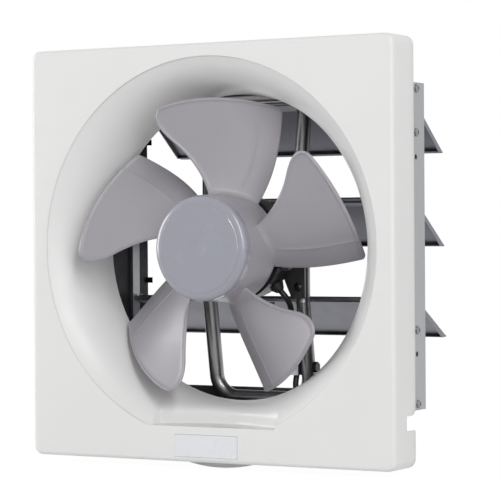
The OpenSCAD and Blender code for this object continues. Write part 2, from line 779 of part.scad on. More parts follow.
module motor_rear_shell() color([0.12, 0.12, 0.13]) difference() {
    union() {
        about_y() rotate_extrude() polygon([
            [0, joint_y + joint_t],
            [joint_r, joint_y + joint_t],
            [joint_r, joint_y + 2 * joint_t],
            [motor_rear_r, joint_y + 2 * joint_t],
            [motor_rear_r, rear_y - shell_edge],
            [motor_rear_r - shell_edge, rear_y],
            [boss_r, rear_y],
            [boss_r, rear_y + mount_t + 1],
            [0, rear_y + mount_t + 1]]);
        joint_ears(joint_y + joint_t, joint_y + 2 * joint_t);
    }
    translate([0, joint_y, 0]) about_y() difference() {
        cylinder(r = motor_rear_r - shell_wall - 1, h = rear_y - joint_y - shell_wall);
        translate([0, 0, rear_y - joint_y - shell_wall - boss_l]) cylinder(r = boss_r, h = boss_l + over);
        for (x = [-1, 1], s = [-1, 1])
            translate([x * motor_screw[0], s * motor_screw[1], rear_y - joint_y - shell_wall - 5])
                cylinder(r = 4.5, h = 6);
    }
    translate([0, bearing_rear_y, 0]) about_y() {
        translate([0, 0, -2 * boss_l]) cylinder(r = bearing_r, h = bearing_w + 2 * boss_l);
        translate([0, 0, -2 * boss_l]) cylinder(r = shaft_r + 1, h = bearing_w + 2 * boss_l + 1);
    }
    for (x = [-1, 1], s = [-1, 1])
        translate([x * motor_screw[0], rear_y + eps, s * motor_screw[1]]) rotate([90, 0, 0])
            cylinder(r = screw_r, h = shell_wall + 4);
    translate([0, joint_y, 0]) ear_holes(screw_r);
    at_grommet() cylinder(r = grommet_r, h = 4 * shell_wall, center = true);
}

bearing_front_y = front_y + boss_l - bearing_w;
bearing_rear_y = rear_y - bearing_w;

module bearing(y) color([0.75, 0.62, 0.35])
    translate([0, y, 0]) about_y() difference() {
        cylinder(r = bearing_r, h = bearing_w);
        translate([0, 0, -over]) cylinder(r = shaft_r + shaft_fit, h = bearing_w + 2 * over);
    }
module bearing_front() bearing(bearing_front_y);
module bearing_rear() bearing(bearing_rear_y);

module shell_screws() color([0.78, 0.79, 0.80])
    translate([0, joint_y, 0]) at_ears() rotate([90, 0, 0]) pan_screw(2 * joint_t);

slots = 12;

module stator_core() color([0.35, 0.36, 0.38])
    translate([0, core_y, 0]) about_y() difference() {
        cylinder(r = core_r, h = core_l);
        translate([0, 0, -over]) cylinder(r = rotor_r + 0.5, h = core_l + 2 * over);
        for (i = [0:slots - 1]) rotate(i * 360 / slots)
            translate([rotor_r + 7, 0, -over]) cylinder(r = 2.6, h = core_l + 2 * over, $fn = 24);
    }

module stator_coils() color([0.72, 0.40, 0.20])
    for (y = [core_y - 4 - gap, core_y + core_l + gap])
        translate([0, y, 0]) about_y() difference() {
            cylinder(r = rotor_r + 12, h = 4);
            translate([0, 0, -over]) cylinder(r = rotor_r + 2, h = 4 + 2 * over);
        }

module rotor_core() color([0.45, 0.46, 0.48])
    translate([0, core_y, 0]) about_y() difference() {
        cylinder(r = rotor_r, h = core_l);
        translate([0, 0, -over]) cylinder(r = shaft_r, h = core_l + 2 * over);
    }

// --------------------------------------------------------------- impeller

cap_y = face_y - cap_proud;
shoulder_r = 6.4;                      // round shoulder of the cap
web_y = cap_y + shoulder_r + 4.6;      // front of the hub's web
web_t = 3;
hub_boss_r = 10;
hub_boss_end = front_y - 6;
nut_h = 5;
nut_af = 13;
washer_t = 1.6;
washer_r = 9;
shaft_front = web_y - washer_t - nut_h - 1;
shaft_end = bearing_rear_y + bearing_w - gap;
drive_r = 1.5;
drive_l = 17;
drive_y = hub_boss_end - drive_r - 1;

function hub_at(y) = hub_front_r
    + (hub_rear_r - hub_front_r) * (y - cap_y - shoulder_r) / (face_y + hub_rear_d - cap_y - shoulder_r);

// Depth profile of a blade's edge: root value, tip value and how much it bows
function bow(root, tip, bulge, v) = root + (tip - root) * v + bulge * v * (1 - v);
root_r = hub_front_r;                  // where the blade's angles are measured from
lead_bow = 27.8;
trail_bow = 19.7;
trail_sweep_bow = 6.2;
function span_at(r) = (r - root_r) / (tip_r - root_r);
function lead_a(v) = bow(lead_root_a, lead_root_a + lead_sweep_a, 0, v);
function trail_a(v) = bow(trail_root_a, trail_root_a + trail_sweep_a, trail_sweep_bow, v);
function lead_d(v) = bow(lead_root_d, lead_tip_d, lead_bow, v);
function trail_d(v) = bow(trail_root_d, trail_tip_d, trail_bow, v);
// How far a round corner draws an edge in, at a radius
function corner_in_at(r, c) = r < tip_r - c ? 0 : c - sqrt(max(0, pow(c, 2) - pow(r - tip_r + c, 2)));
function lead_edge(r) = lead_a(span_at(r)) - corner_in_at(r, lead_corner_r) / r * 180 / PI;
function trail_edge(r) = trail_a(span_at(r)) + corner_in_at(r, trail_corner_r) / r * 180 / PI;

// Point of the blade's mid surface: u from trailing to leading edge, at radius r
function blade_mid(u, r) =
    let (a = trail_edge(r) + (lead_edge(r) - trail_edge(r)) * u,
         v = span_at(r),
         w = (a - trail_a(v)) / (lead_a(v) - trail_a(v)),
         d = trail_d(v) * (1 - w) + lead_d(v) * w - camber * v * 4 * w * (1 - w))
    [r * cos(a), face_y + d, r * sin(a)];

function unit(v) = v / norm(v);
blade_step = 0.02;
function blade_normal(u, r) =
    let (u2 = min(u, 1 - blade_step), r2 = min(r, tip_r - 1))
    unit(cross(blade_mid(u2 + blade_step, r2) - blade_mid(u2, r2),
               blade_mid(u2, r2 + 0.5) - blade_mid(u2, r2)));

blade_u = [for (i = [0:10]) i / 10];
blade_root_in = root_r - 0.4;
blade_v = [0, 0.12, 0.25, 0.38, 0.5, 0.61, 0.7, 0.78, 0.85, 0.9, 0.94, 0.97, 0.99, 1];
blade_radii = [for (v = blade_v) blade_root_in + (tip_r - blade_root_in) * v];
blade_cols = len(blade_u);
blade_rows = len(blade_radii);
function blade_half(u) = blade_t / 2 * (0.45 + 0.55 * pow(sin(180 * u), 0.5));

module blade() {
    n = blade_cols * blade_rows;
    front = [for (r = blade_radii, u = blade_u) blade_mid(u, r) + blade_normal(u, r) * blade_half(u)];
    back = [for (r = blade_radii, u = blade_u) blade_mid(u, r) - blade_normal(u, r) * blade_half(u)];
    cells = [for (j = [0:blade_rows - 2], i = [0:blade_cols - 2]) j * blade_cols + i];
    rim = concat(
        [for (i = [0:blade_cols - 2]) [i, i + 1]],
        [for (j = [0:blade_rows - 2]) [(j + 1) * blade_cols - 1, (j + 2) * blade_cols - 1]],
        [for (i = [blade_cols - 1:-1:1])
            [(blade_rows - 1) * blade_cols + i, (blade_rows - 1) * blade_cols + i - 1]],
        [for (j = [blade_rows - 1:-1:1]) [j * blade_cols, (j - 1) * blade_cols]]);
    polyhedron(
        points = concat(front, back),
        faces = concat(
            [for (c = cells) [c, c + blade_cols + 1, c + 1]],
            [for (c = cells) [c, c + blade_cols, c + blade_cols + 1]],
            [for (c = cells) [n + c, n + c + 1, n + c + blade_cols + 1]],
            [for (c = cells) [n + c, n + c + blade_cols + 1, n + c + blade_cols]],
            [for (e = rim) [e[0], e[1], n + e[1]]],
            [for (e = rim) [e[0], n + e[1], n + e[0]]]),
        convexity = 4);
}

module hub_body() {
    start = cap_y + shoulder_r;
    end = face_y + hub_rear_d;
    difference() {
        about_y() rotate_extrude($fn = fine) {
            difference() {
                polygon([[0, web_y], [hub_at(web_y), web_y], [hub_rear_r, end], [0, end]]);
                polygon([[hub_boss_r, web_y + web_t], [hub_at(web_y + web_t) - hub_wall, web_y + web_t],
                         [hub_rear_r - hub_wall, end + over], [hub_boss_r, end + over]]);
                translate([-eps, hub_boss_end]) square([hub_boss_r + 2 * eps, end - hub_boss_end + over]);
            }
            polygon([[hub_front_r - hub_wall - gap, web_y + eps],
                     [hub_front_r - hub_wall - gap - 2, web_y + eps],
                     [hub_front_r - hub_wall - gap - 2, start],
                     [hub_front_r - hub_wall - gap, start]]);
        }
        translate([0, web_y - over, 0]) about_y() cylinder(r = shaft_r, h = end - web_y);
        translate([0, drive_y, 0]) along_x() cylinder(r = drive_r, h = drive_l, center = true, $fn = 24);
        translate([0, drive_y, -drive_r])
            block([-drive_l / 2, 0, 0], [drive_l / 2, 2 * boss_l, 2 * drive_r]);
    }
}

module impeller() color([0.62, 0.62, 0.64]) {
    hub_body();
    for (i = [0:blades - 1]) rotate([0, -360 / blades * i, 0]) blade();
}

// Points of an arc from angle a to angle b
function arc(x, y, r, a, b, n = 12) =
    [for (i = [0:n]) [x + r * cos(a + (b - a) * i / n), y + r * sin(a + (b - a) * i / n)]];

cap_mark_r = 7;        // faint round mark in the middle of the cap
cap_groove = 0.6;      // width of the fine ring round the cap's flat
cap_cut = 0.35;        // depth of the mark and the ring

module hub_cap() color([0.66, 0.68, 0.71]) {
    bend_x = hub_front_r - shoulder_r;
    bend_y = cap_y + shoulder_r;
    about_y() rotate_extrude($fn = fine) polygon(concat(
        [[0, cap_y + cap_cut], [cap_mark_r, cap_y + cap_cut], [cap_mark_r + cap_cut, cap_y],
         [bend_x - cap_groove, cap_y], [bend_x - cap_groove, cap_y + cap_cut], [bend_x, cap_y + cap_cut]],
        arc(bend_x, bend_y, shoulder_r, -90, 0),
        [[hub_front_r, web_y], [hub_front_r - hub_wall, web_y]],
        arc(bend_x, bend_y, shoulder_r - hub_wall, 0, -90),
        [[0, bend_y - shoulder_r + hub_wall]]));
}

module hub_washer() color([0.75, 0.76, 0.77])
    translate([0, web_y - washer_t, 0]) about_y() difference() {
        cylinder(r = washer_r, h = washer_t);
        translate([0, 0, -over]) cylinder(r = shaft_r, h = washer_t + 2 * over);
    }

module hub_nut() color([0.78, 0.79, 0.80])
    translate([0, web_y - washer_t - nut_h, 0]) about_y() difference() {
        cylinder(r = nut_af / sqrt(3), h = nut_h, $fn = 6);
        translate([0, 0, -over]) cylinder(r = shaft_r, h = nut_h + 2 * over);
    }

module shaft() color([0.80, 0.81, 0.82]) difference() {
    translate([0, shaft_front, 0]) about_y() cylinder(r = shaft_r, h = shaft_end - shaft_front);
    translate([0, drive_y, 0]) along_x() cylinder(r = drive_r, h = 4 * shaft_r, center = true, $fn = 24);
}

module drive_pin() color([0.70, 0.71, 0.72])
    translate([0, drive_y, 0]) along_x()
        cylinder(r = drive_r, h = drive_l - 2 * gap, center = true, $fn = 24);

// ----------------------------------------------------------------- wiring

block_y = rail_front - gap - block_d;
grommet_a = -48;       // where the lead leaves the motor, from the +X axis
grommet_y = rear_y - 8;
grommet_r = 5;
cap_w = 40;
cap_h = 28;
cap_d = 17;
cap_corner = 3;
cap_lift = 2;          // capacitor from the motor plate
strap_w = 10;
strap_foot = 9;
bolt_r = 2;
clamp_z = floor_z + 34.5;
clamp_y = arm_y(clamp_z);
clamp_h = 14;
clamp_t = 1.2;

module at_grommet()
    rotate([0, -grommet_a, 0]) translate([motor_rear_r, grommet_y, 0]) rotate([0, 90, 0]) children();

module lead_grommet() color([0.06, 0.06, 0.06]) at_grommet() difference() {
    union() {
        translate([0, 0, -shell_wall]) cylinder(r = grommet_r, h = shell_wall + 1);
        translate([0, 0, 0.6]) cylinder(r1 = grommet_r + 1.5, r2 = lead_r + 1.2, h = 5);
    }
    translate([0, 0, -3 * shell_wall]) cylinder(r = lead_r + 0.4, h = 20);
}

// Height on the way from the arm's knee, at t = 0, down to the floor, at t = 1
function way_down(t) = -stay_knee + (stay_knee + floor_z) * t;
lead_x = stay_x - tube_r - clamp_t - lead_r - gap;         // beside the right arm
lead_end = block_y + 8.3;                                  // where it enters the terminal block
lead_end_up = 11.1;

// Route of the lead: out of the motor, over to the right arm, down it and
// along the body's floor to the terminal block
lead_path = [
    [28.1, 31.2, -31.2], [31.1, 31.2, -34.6], [34.1, 31.2, -37.9], [36.6, 32, -41],
    [38.2, 34.2, -44.6], [38.6, 37.4, -48.6], [38, 41, -53.4], [37.2, 44.4, -58.8],
    [lead_x + 0.6, arm_y(way_down(0.2)) - 3.4, way_down(0.2)],
    [lead_x + 0.2, arm_y(way_down(0.28)) - 2.8, way_down(0.28)],
    [lead_x, arm_y(way_down(0.37)) - 2.5, way_down(0.37)],
    [lead_x, arm_y(way_down(0.46)) - 2, way_down(0.46)],
    [lead_x, arm_y(way_down(0.54)) - 1.7, way_down(0.54)],
    [lead_x, arm_y(way_down(0.62)) - 1.9, way_down(0.62)],
    [lead_x, arm_y(way_down(0.7)) - 3.3, way_down(0.7)],
    [lead_x + 0.6, arm_y(way_down(0.77)) - 7.1, way_down(0.77)],
    [lead_x + 2.8, arm_y(way_down(0.84)) - 11.1, way_down(0.84)],
    [lead_x + 7, lead_end + 4.7, floor_z + 9.5], [lead_x + 13.8, lead_end + 3.1, floor_z + 5.5],
    [lead_x + 21.4, lead_end + 2.1, floor_z + 3.5], [66, lead_end + 1.5, floor_z + 2.6],
    [76, lead_end + 1.5, floor_z + 2.5], [inner_x - 53, lead_end + 1.5, floor_z + 2.6],
    [inner_x - 44, lead_end + 1.3, floor_z + 3.9], [inner_x - 37, lead_end + 0.7, floor_z + 6.7],
    [inner_x - 31, lead_end + 0.1, floor_z + 9.5], [inner_x - 25.5, lead_end, floor_z + 10.9],
    [inner_x - 20.5, lead_end, floor_z + lead_end_up]
];
lead_sides = 8;

// Frame of the tube at a point of the route: two directions across it
function route_dir(p, i) = unit(p[min(i + 1, len(p) - 1)] - p[max(i - 1, 0)]);
function across(d) = unit(cross(d, abs(d[1]) < 0.9 ? [0, 1, 0] : [1, 0, 0]));

module tube(p, r, sides) {
    rings = [for (i = [0:len(p) - 1])
        let (d = route_dir(p, i), a = across(d), b = cross(d, a))
        for (k = [0:sides - 1])
            p[i] + r * (a * cos(360 * k / sides) + b * sin(360 * k / sides))];
    last = (len(p) - 1) * sides;
    polyhedron(
        points = rings,
        faces = concat(
            [[for (k = [0:sides - 1]) k]],
            [[for (k = [sides - 1:-1:0]) last + k]],
            [for (i = [0:len(p) - 2], k = [0:sides - 1])
                [i * sides + k, (i + 1) * sides + (k + 1) % sides, i * sides + (k + 1) % sides]],
            [for (i = [0:len(p) - 2], k = [0:sides - 1])
                [i * sides + k, (i + 1) * sides + k, (i + 1) * sides + (k + 1) % sides]]));
}

module motor_lead() color([0.04, 0.04, 0.04]) tube(lead_path, lead_r, lead_sides);

// Strap bolted to the right arm, which holds the lead beside the tube
module lead_clamp() color([0.55, 0.56, 0.57]) {
    left = stay_x - tube_r;
    outer = left - 2 * clamp_t - 2 * lead_r - 2 * gap;
    low = clamp_z - clamp_h / 2;
    difference() {
        union() {
            block([left - clamp_t, clamp_y - lead_r - 3, low], [left, clamp_y + 9, low + clamp_h]);
            block([outer, clamp_y - lead_r - 3, low], [outer + clamp_t, clamp_y + 3, low + clamp_h]);
            block([outer, clamp_y - lead_r - 3 - clamp_t, low], [left, clamp_y - lead_r - 3, low + clamp_h]);
        }
        translate([left, clamp_y + 6, clamp_z]) along_x()
            cylinder(r = bolt_r + pin_fit, h = 8 * clamp_t, center = true);
    }
}

module clamp_bolt() color([0.75, 0.76, 0.77])
    translate([stay_x + tube_r, clamp_y, clamp_z]) along_x() {
        cylinder(r = 2 * bolt_r / cos(30), h = 3, $fn = 6);
        translate([0, 0, -2 * tube_r + gap]) cylinder(r = bolt_r, h = 2 * tube_r);
    }

module capacitor() color([0.16, 0.17, 0.19])
    translate([0, mount_y + mount_t + cap_lift, 0]) extrude_y(0, cap_d) round_rect(cap_w, cap_h, cap_corner);

module capacitor_strap() color([0.70, 0.71, 0.72])
    translate([0, mount_y + mount_t, 0]) difference() {
        union() {
            block([-cap_w / 2 - gap - clamp_t, 0, -strap_w / 2],
                  [cap_w / 2 + gap + clamp_t, cap_d + cap_lift + gap + clamp_t, strap_w / 2]);
            block([-cap_w / 2 - strap_foot, 0, -strap_w / 2],
                  [cap_w / 2 + strap_foot, clamp_t, strap_w / 2]);
        }
        block([-cap_w / 2 - gap, -over, -strap_w], [cap_w / 2 + gap, cap_d + cap_lift + gap, strap_w]);
    }

block_low = floor_z + 2;
ways = 3;

module terminal_block() color([0.90, 0.90, 0.88]) difference() {
    block([inner_x - block_w, block_y, block_low], [inner_x, block_y + block_d, block_low + block_h]);
    for (i = [0:ways - 1])
        translate([inner_x - block_w - over, block_y + block_d * (i + 0.5) / ways, block_low + block_h / 2])
            block([0, -3.6, -2], [block_w / 2, 3.6, block_h]);
    translate([inner_x - block_w, lead_end, floor_z + lead_end_up]) along_x()
        cylinder(r = lead_r + gap, h = 6, center = true);
}

module terminal_screws() color([0.78, 0.70, 0.42])
    for (i = [0:ways - 1])
        translate([inner_x - block_w / 2 - over, block_y + block_d * (i + 0.5) / ways,
                   block_low + block_h / 2 + 4])
            rotate([0, -90, 0]) cylinder(r = 2.6, h = 3);

front_panel();
name_plate();
oil_tray();
panel_clips();
side_plate_left();
side_plate_right();
top_plate();
bottom_plate();
corner_screws();
rail_left();
rail_right();
rail_screws();
louvre_stop();
motor_stay();
stay_screws();
motor_plate();
plate_screws();
motor_rear_shell();
motor_front_shell();
shell_screws();
stator_core();
stator_coils();
bearing_front();
bearing_rear();
capacitor();
capacitor_strap();
lead_grommet();
motor_lead();
lead_clamp();
clamp_bolt();
terminal_block();
terminal_screws();
rotor_core();
shaft();
drive_pin();
impeller();
hub_washer();
hub_nut();
hub_cap();
louvre(0);  // louvre_1
louvre_pins(0);  // louvre_1_pins
louvre_weight(0);  // louvre_1_weight
louvre(1);  // louvre_2
louvre_pins(1);  // louvre_2_pins
louvre_weight(1);  // louvre_2_weight
louvre(2);  // louvre_3
louvre_pins(2);  // louvre_3_pins
louvre_weight(2);  // louvre_3_weight
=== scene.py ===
"""Looks of a wall and window exhaust fan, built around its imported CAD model.

Sizes are in millimetres, angles in degrees, and a depth is counted from the
front panel's face towards the wall. X is to the right, +Y runs outdoors, +Z is
up, and the origin is on the fan's axis in the plane of the wall.
"""
import math

import bmesh
import bpy
from mathutils import Matrix, Vector
from mathutils.geometry import delaunay_2d_cdt


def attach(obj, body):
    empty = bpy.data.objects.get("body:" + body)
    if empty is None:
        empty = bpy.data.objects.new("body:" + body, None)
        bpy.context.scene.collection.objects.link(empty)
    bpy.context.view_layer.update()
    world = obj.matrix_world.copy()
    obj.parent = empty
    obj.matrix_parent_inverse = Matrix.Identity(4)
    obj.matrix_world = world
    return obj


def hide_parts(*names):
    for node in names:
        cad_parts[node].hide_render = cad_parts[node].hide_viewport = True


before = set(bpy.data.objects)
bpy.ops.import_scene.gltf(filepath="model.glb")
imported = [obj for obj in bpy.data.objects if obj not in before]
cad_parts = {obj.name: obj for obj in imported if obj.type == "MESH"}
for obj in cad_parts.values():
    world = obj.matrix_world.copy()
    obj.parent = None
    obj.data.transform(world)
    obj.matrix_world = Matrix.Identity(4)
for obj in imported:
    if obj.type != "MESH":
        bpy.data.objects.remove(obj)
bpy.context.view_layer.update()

MM = 0.001
WELD = 0.002             # points nearer to each other than this are made one

# ---------------------------------------------------------------- dimensions

PANEL_W = 350.0          # front panel, square
PANEL_DROP = 4.0         # its centre lies this far below the fan's axis
PANEL_D = 38.5           # from the wall to the face
WALL = 2.5               # thickness of its walls
CORNER_R = 8.0           # corners seen from the front
EDGE_R = 4.0             # round edge of the face
SIDE_STEPS, CORNER_STEPS = 40, 8        # of the panel's outline
FACE_Y = -PANEL_D
# points round the panel's rear rim: how far in from its outside, and how far before the rim
REAR_ROUND = ((0.0, 0.4), (0.15, 0.1), (0.5, 0.0), (WALL - 0.3, 0.0), (WALL, 0.3))
INNER_BEVEL = 1.0        # between the sides and the inner skin

FLARE_R = 160.5          # bell mouth on the face
THROAT_R = 130.5         # throat round the blades
THROAT_D = 60.0
FLARE_WALL = 2.2         # thickness of the bell mouth
FLARE_ARC = ((FLARE_R - THROAT_R) ** 2 + THROAT_D ** 2) / (2 * (FLARE_R - THROAT_R))
SKIN_END = FLARE_R + 10.0        # farther out the inner skin is flat
SKIN_RING_END = FLARE_R + 3.0    # and it needs no ring farther out than this
STEP_R, STEP_W = 160.1, 0.9      # fine steep step from the face down to the bell mouth
STEP_STOPS = (-0.4, 0, 0.12, 0.25, 0.37, 0.5, 0.63, 0.75, 0.88, 1, 1.3, 2)       # rings on it, in widths
STEP_SINK = 0.8          # the bell mouth is this much deeper at its foot
STEP_FADE = 12.0         # width over which that blends in
MOUTH_ANGLES = (2.5, 50.0)       # first and last ring of the bell mouth, from its throat along its arc
MOUTH_STEPS, RING_STEPS = 19, 192
RING_GAP = 0.4           # least distance between the step's rings and the bell mouth's
RIM_SLACK = 0.05         # a ring's chords lie a little inside its circle

GRIP_LEFT, GRIP_RIGHT = -55.0, 65.0
GRIP_LOW, GRIP_TOP = -149.0, -136.0     # ledge, and the crease where the grip leaves the flare
GRIP_SOFT = 4.5          # half width of that crease
GRIP_EDGE_R = 1.0
GRIP_WALLS = {"left": 1.6, "right": 0.3, "low": 0.3}    # how far each wall of the grip leans in
GRIP_LEAST = 0.02        # a pocket flatter than this is none
GRIP_BACK = 0.3          # the inner skin passes this much farther behind the grip
GRIP_MARGIN = 2.0        # the grip's own lines run this far past it
GRIP_ALONG, GRIP_UP, GRIP_SLOPE = 48, 18, 12    # steps of its lines each way, and lines up its slope
CHIN_LEFT, CHIN_SLOPE = -62.0, 0.3      # the bell mouth ends at the ledge's height from here to the grip

PLATE_W, PLATE_H = 60.0, 18.5
PLATE_Z = GRIP_LOW - 7.0 - PLATE_H / 2
PLATE_SEAT = 0.7         # depth of the name plate's seat
SEAT_GAP, SEAT_SLOPE = 0.15, 0.1        # gap round the plate, and half width of the seat's sloping wall

NOTCH_H, NOTCH_D, NOTCH_DROP, NOTCH_R = 12.0, 16.0, 142.0, 7.0         # for the mains cord, in the right side
NOTCH_LOW, NOTCH_TOP = -NOTCH_DROP - NOTCH_H / 2, -NOTCH_DROP + NOTCH_H / 2
NOTCH_EDGE = (-0.3, 0.02)        # the rim drops into the notch between these heights over NOTCH_LOW

BLADES = 5
TIP_R = 126.0
HUB_FRONT_R, HUB_REAR_R = 44.0, 46.4
CAP_PROUD = 10.0         # the cap stands this far out of the panel's face
CAP_Y = FACE_Y - CAP_PROUD
SHOULDER_R = 6.4         # round shoulder of the cap
HUB_REAR_D = 41.0
HUB_WALL = 2.8
WEB_Y = CAP_Y + SHOULDER_R + 4.6        # web between the hub's wall and its boss
WEB_T = 3.0
HUB_BOSS_R, BORE_R = 10.0, 4.05
HUB_BOSS_END = FACE_Y + 14.0
HUB_BEVEL, HUB_EDGE = 0.3, 0.5   # fine bevels of the hub's wall, and those of its and the boss's rear ends
HUB_COVE = 2.0           # slopes in the web's corners
BLADE_T = 1.9
# a blade's leading and trailing edge: angle (A) and depth (D) at its root, and how they change to its tip
LEAD_ROOT_A, LEAD_SWEEP_A = 24.0, 24.4
TRAIL_ROOT_A, TRAIL_SWEEP_A, TRAIL_SWEEP_BOW = -20.5, 16.2, 6.2
LEAD_ROOT_D, LEAD_TIP_D, LEAD_BOW = 15.5, -7.0, 27.8
TRAIL_ROOT_D, TRAIL_TIP_D, TRAIL_BOW = 41.0, 49.2, 19.7
CAMBER = 9.0
LEAD_CORNER_R, TRAIL_CORNER_R = 30.0, 4.0
ROOT_SINK = 0.6          # the blades start this far inside the hub
BLADE_STEPS = {"behind fold": 7, "before fold": 22, "outward": 44}
ROOT_FILLET, ROOT_REACH = 2.2, 4.5      # height and width of the fillet where a blade meets the hub
ROOT_TAPER = 0.7         # how fast that fillet ends at the blade's edges
FOLD_IN = 16.0           # faint fold along a blade, from its trailing edge
FOLD_RISE = 0.45         # how far the trailing edge bends back behind the fold
FOLD_RIDGE = 0.3         # height of the fine ridge along the fold
FOLD_STOPS = (-1.4, -0.8, -0.4, 0, 0.4, 0.8, 1.4)
LIP_IN, LIP_W, LIP_RISE = 1.6, 0.9, 0.95        # lip along the front of the leading edge and the tip
LIP_FREE = 0.2           # the outermost part of an edge has no lip or ridge
TRIM_START, TRIM_GROWTH = 6.0, 12.0     # these start this far from the hub, and grow over that length
RIM_STOPS = (0, 0.08, 0.3, 0.6, 1.0, 1.5, 2.0, 2.6, 3.4)        # places in from a blade's edges
HUB_STEPS, CAP_STEPS = 144, 160         # round the axis

FLAT_R = HUB_FRONT_R - SHOULDER_R       # flat of the cap
FLAT_STEP, FLAT_BEVEL, FLAT_LEDGE = 0.5, 0.55, 0.45     # fine step round the flat, on both sides of its edge
MARK_R, MARK_D = 7.0, 0.3               # faint round mark in the flat
MARK_SLOPE, MARK_EDGE = 0.8, 1.2

LEAD_R = 2.5
LEAD_SIDES, LEAD_STEPS = 20, 5          # round the lead, and from one point of its route to the next
# route of the motor lead: out of the motor, down the stay's right arm, along its lower bend to the terminals
LEAD_PATH = [
    (28.1, 31.2, -31.2), (31.1, 31.2, -34.6), (34.1, 31.2, -37.9), (36.6, 32, -41),
    (38.2, 34.2, -44.6), (38.6, 37.4, -48.6), (38, 41, -53.4), (37.2, 44.4, -58.8),
    (36.25, 47.0, -65.1), (35.85, 48.77, -72.34), (35.65, 50.37, -80.49), (35.65, 52.18, -88.63),
    (35.65, 53.64, -95.87), (35.65, 54.6, -103.11), (35.65, 54.36, -110.35), (36.25, 51.58, -116.69),
    (38.45, 48.6, -123.02), (42.65, 45.7, -128), (49.45, 44.1, -132), (57.05, 43.1, -134),
    (66, 42.5, -134.9), (76, 42.5, -135), (86, 42.5, -134.9), (95, 42.3, -133.6),
    (102, 41.7, -130.8), (108, 41.1, -128), (113.5, 41, -126.6), (118.5, 41, -126.4),
]

# ------------------------------------------------------------------- camera

CAMERA_AT = (0.9751, -1.6601, 0.0125)       # in metres
CAMERA_TURN = 29.873     # to the left of +Y
CAMERA_TILT = -0.437
CAMERA_ROLL = -0.387
CAMERA_LENS, CAMERA_SENSOR = 163.84, 36.0


def place_camera():
    """The photograph's camera, as it was solved on the panel's corners."""
    turn, tilt, roll = (math.radians(a) for a in (CAMERA_TURN, CAMERA_TILT, CAMERA_ROLL))
    forward = Vector((-math.sin(turn) * math.cos(tilt), math.cos(turn) * math.cos(tilt), math.sin(tilt)))
    right = forward.cross(Vector((0, 0, 1))).normalized()
    up = right.cross(forward)
    side = right * math.cos(roll) + up * math.sin(roll)
    top = up * math.cos(roll) - right * math.sin(roll)
    data = bpy.data.cameras.new("camera")
    data.lens, data.sensor_width = CAMERA_LENS, CAMERA_SENSOR
    data.clip_end = 50
    camera = bpy.data.objects.new("camera", data)
    turned = Matrix((side, top, -forward)).transposed()
    camera.matrix_world = Matrix.Translation(CAMERA_AT) @ turned.to_4x4()
    bpy.context.scene.collection.objects.link(camera)
    bpy.context.scene.camera = camera


# ------------------------------------------------------------ mesh helpers

def soften(mesh, smooth_below):
    """Smooth shading with sharp edges where the faces meet at more than the limit."""
    mesh.shade_smooth()
    form = bmesh.new()
    form.from_mesh(mesh)
    limit = math.radians(smooth_below)
    for edge in form.edges:
        edge.smooth = len(edge.link_faces) == 2 and edge.calc_face_angle(0.0) < limit
    form.to_mesh(mesh)
    form.free()


class Build:
    """Collects points and faces of one mesh; equal points are welded at the end."""

    def __init__(self):
        self.points, self.faces = [], []

    def grid(self, rows, closed_rows=False, flip=False):
        """Faces between rows of points; a closed row joins its last point to its first."""
        first = len(self.points)
        columns = len(rows[0])
        for row in rows:
            self.points.extend(row)
        for j in range(len(rows) - 1):
            for i in range(columns if closed_rows else columns - 1):
                a = first + j * columns + i
                b = first + j * columns + (i + 1) % columns
                face = (a, b, b + columns, a + columns)
                self.faces.append(face[::-1] if flip else face)

    def patch(self, points, faces, flip=False):
        """Adds points, and faces that count from the first of them."""
        first = len(self.points)
        self.points.extend(points)
        self.faces.extend(tuple(first + i for i in (f[::-1] if flip else f)) for f in faces)

    def make(self, name, material, smooth_below):
        """Links the welded mesh as an object, smooth where it bends less than the limit."""
        mesh = bpy.data.meshes.new(name)
        mesh.from_pydata([tuple(c * MM for c in p) for p in self.points], [], self.faces)
        mesh.validate()
        mesh.materials.append(material)
        form = bmesh.new()
        form.from_mesh(mesh)
        bmesh.ops.remove_doubles(form, verts=form.verts, dist=WELD * MM)
        bmesh.ops.dissolve_degenerate(form, dist=WELD * MM / 2, edges=form.edges)
        form.to_mesh(mesh)
        form.free()
        soften(mesh, smooth_below)
        made = bpy.data.objects.new(name, mesh)
        bpy.context.scene.collection.objects.link(made)
        return made


def lathe(profile, steps, closed=True):
    """Rows of a (radius, y) profile turned round the fan's axis; a closed one ends where it starts."""
    ring = list(profile) + ([profile[0]] if closed else [])
    angles = [2 * math.pi * i / steps for i in range(steps)]
    return [[(r * math.cos(a), y, r * math.sin(a)) for a in angles] for r, y in ring]


def span(low, high, steps):
    """Evenly spaced values from low to high, both included."""
    return [low + (high - low) * i / steps for i in range(steps + 1)]


def share(x):
    """x, held between 0 and 1."""
    return min(max(x, 0.0), 1.0)


# ------------------------------------------------------------ front panel

def flare_depth(r, inset=0.0):
    """Depth of the bell mouth at a radius; inset gives its outer skin."""
    reach = FLARE_ARC - inset
    across = min(FLARE_ARC + THROAT_R - r, reach)
    return THROAT_D - math.sqrt(max(reach ** 2 - across ** 2, 0.0))


def mouth_depth(r):
    """Depth of the face and the bell mouth, with the step between them rounded on both sides."""
    inward = STEP_R - r
    if inward <= 0:
        return 0.0
    t = min(inward / STEP_W, 1.0)
    sunk = STEP_SINK * max(1 - inward / STEP_FADE, 0.0)
    return (flare_depth(r) + sunk) * t * t * (3 - 2 * t)


def skin_depth(r):
    """Depth of the inner skin, behind the face and the bell mouth."""
    return max(WALL, flare_depth(r, FLARE_WALL)) if r < SKIN_END else WALL


def soft_floor(z, low, width):
    """z, but never under low, with a rounded bend of that half width."""
    if z >= low + width:
        return z
    if z <= low - width:
        return low
    return low + (z - low + width) ** 2 / (4 * width)


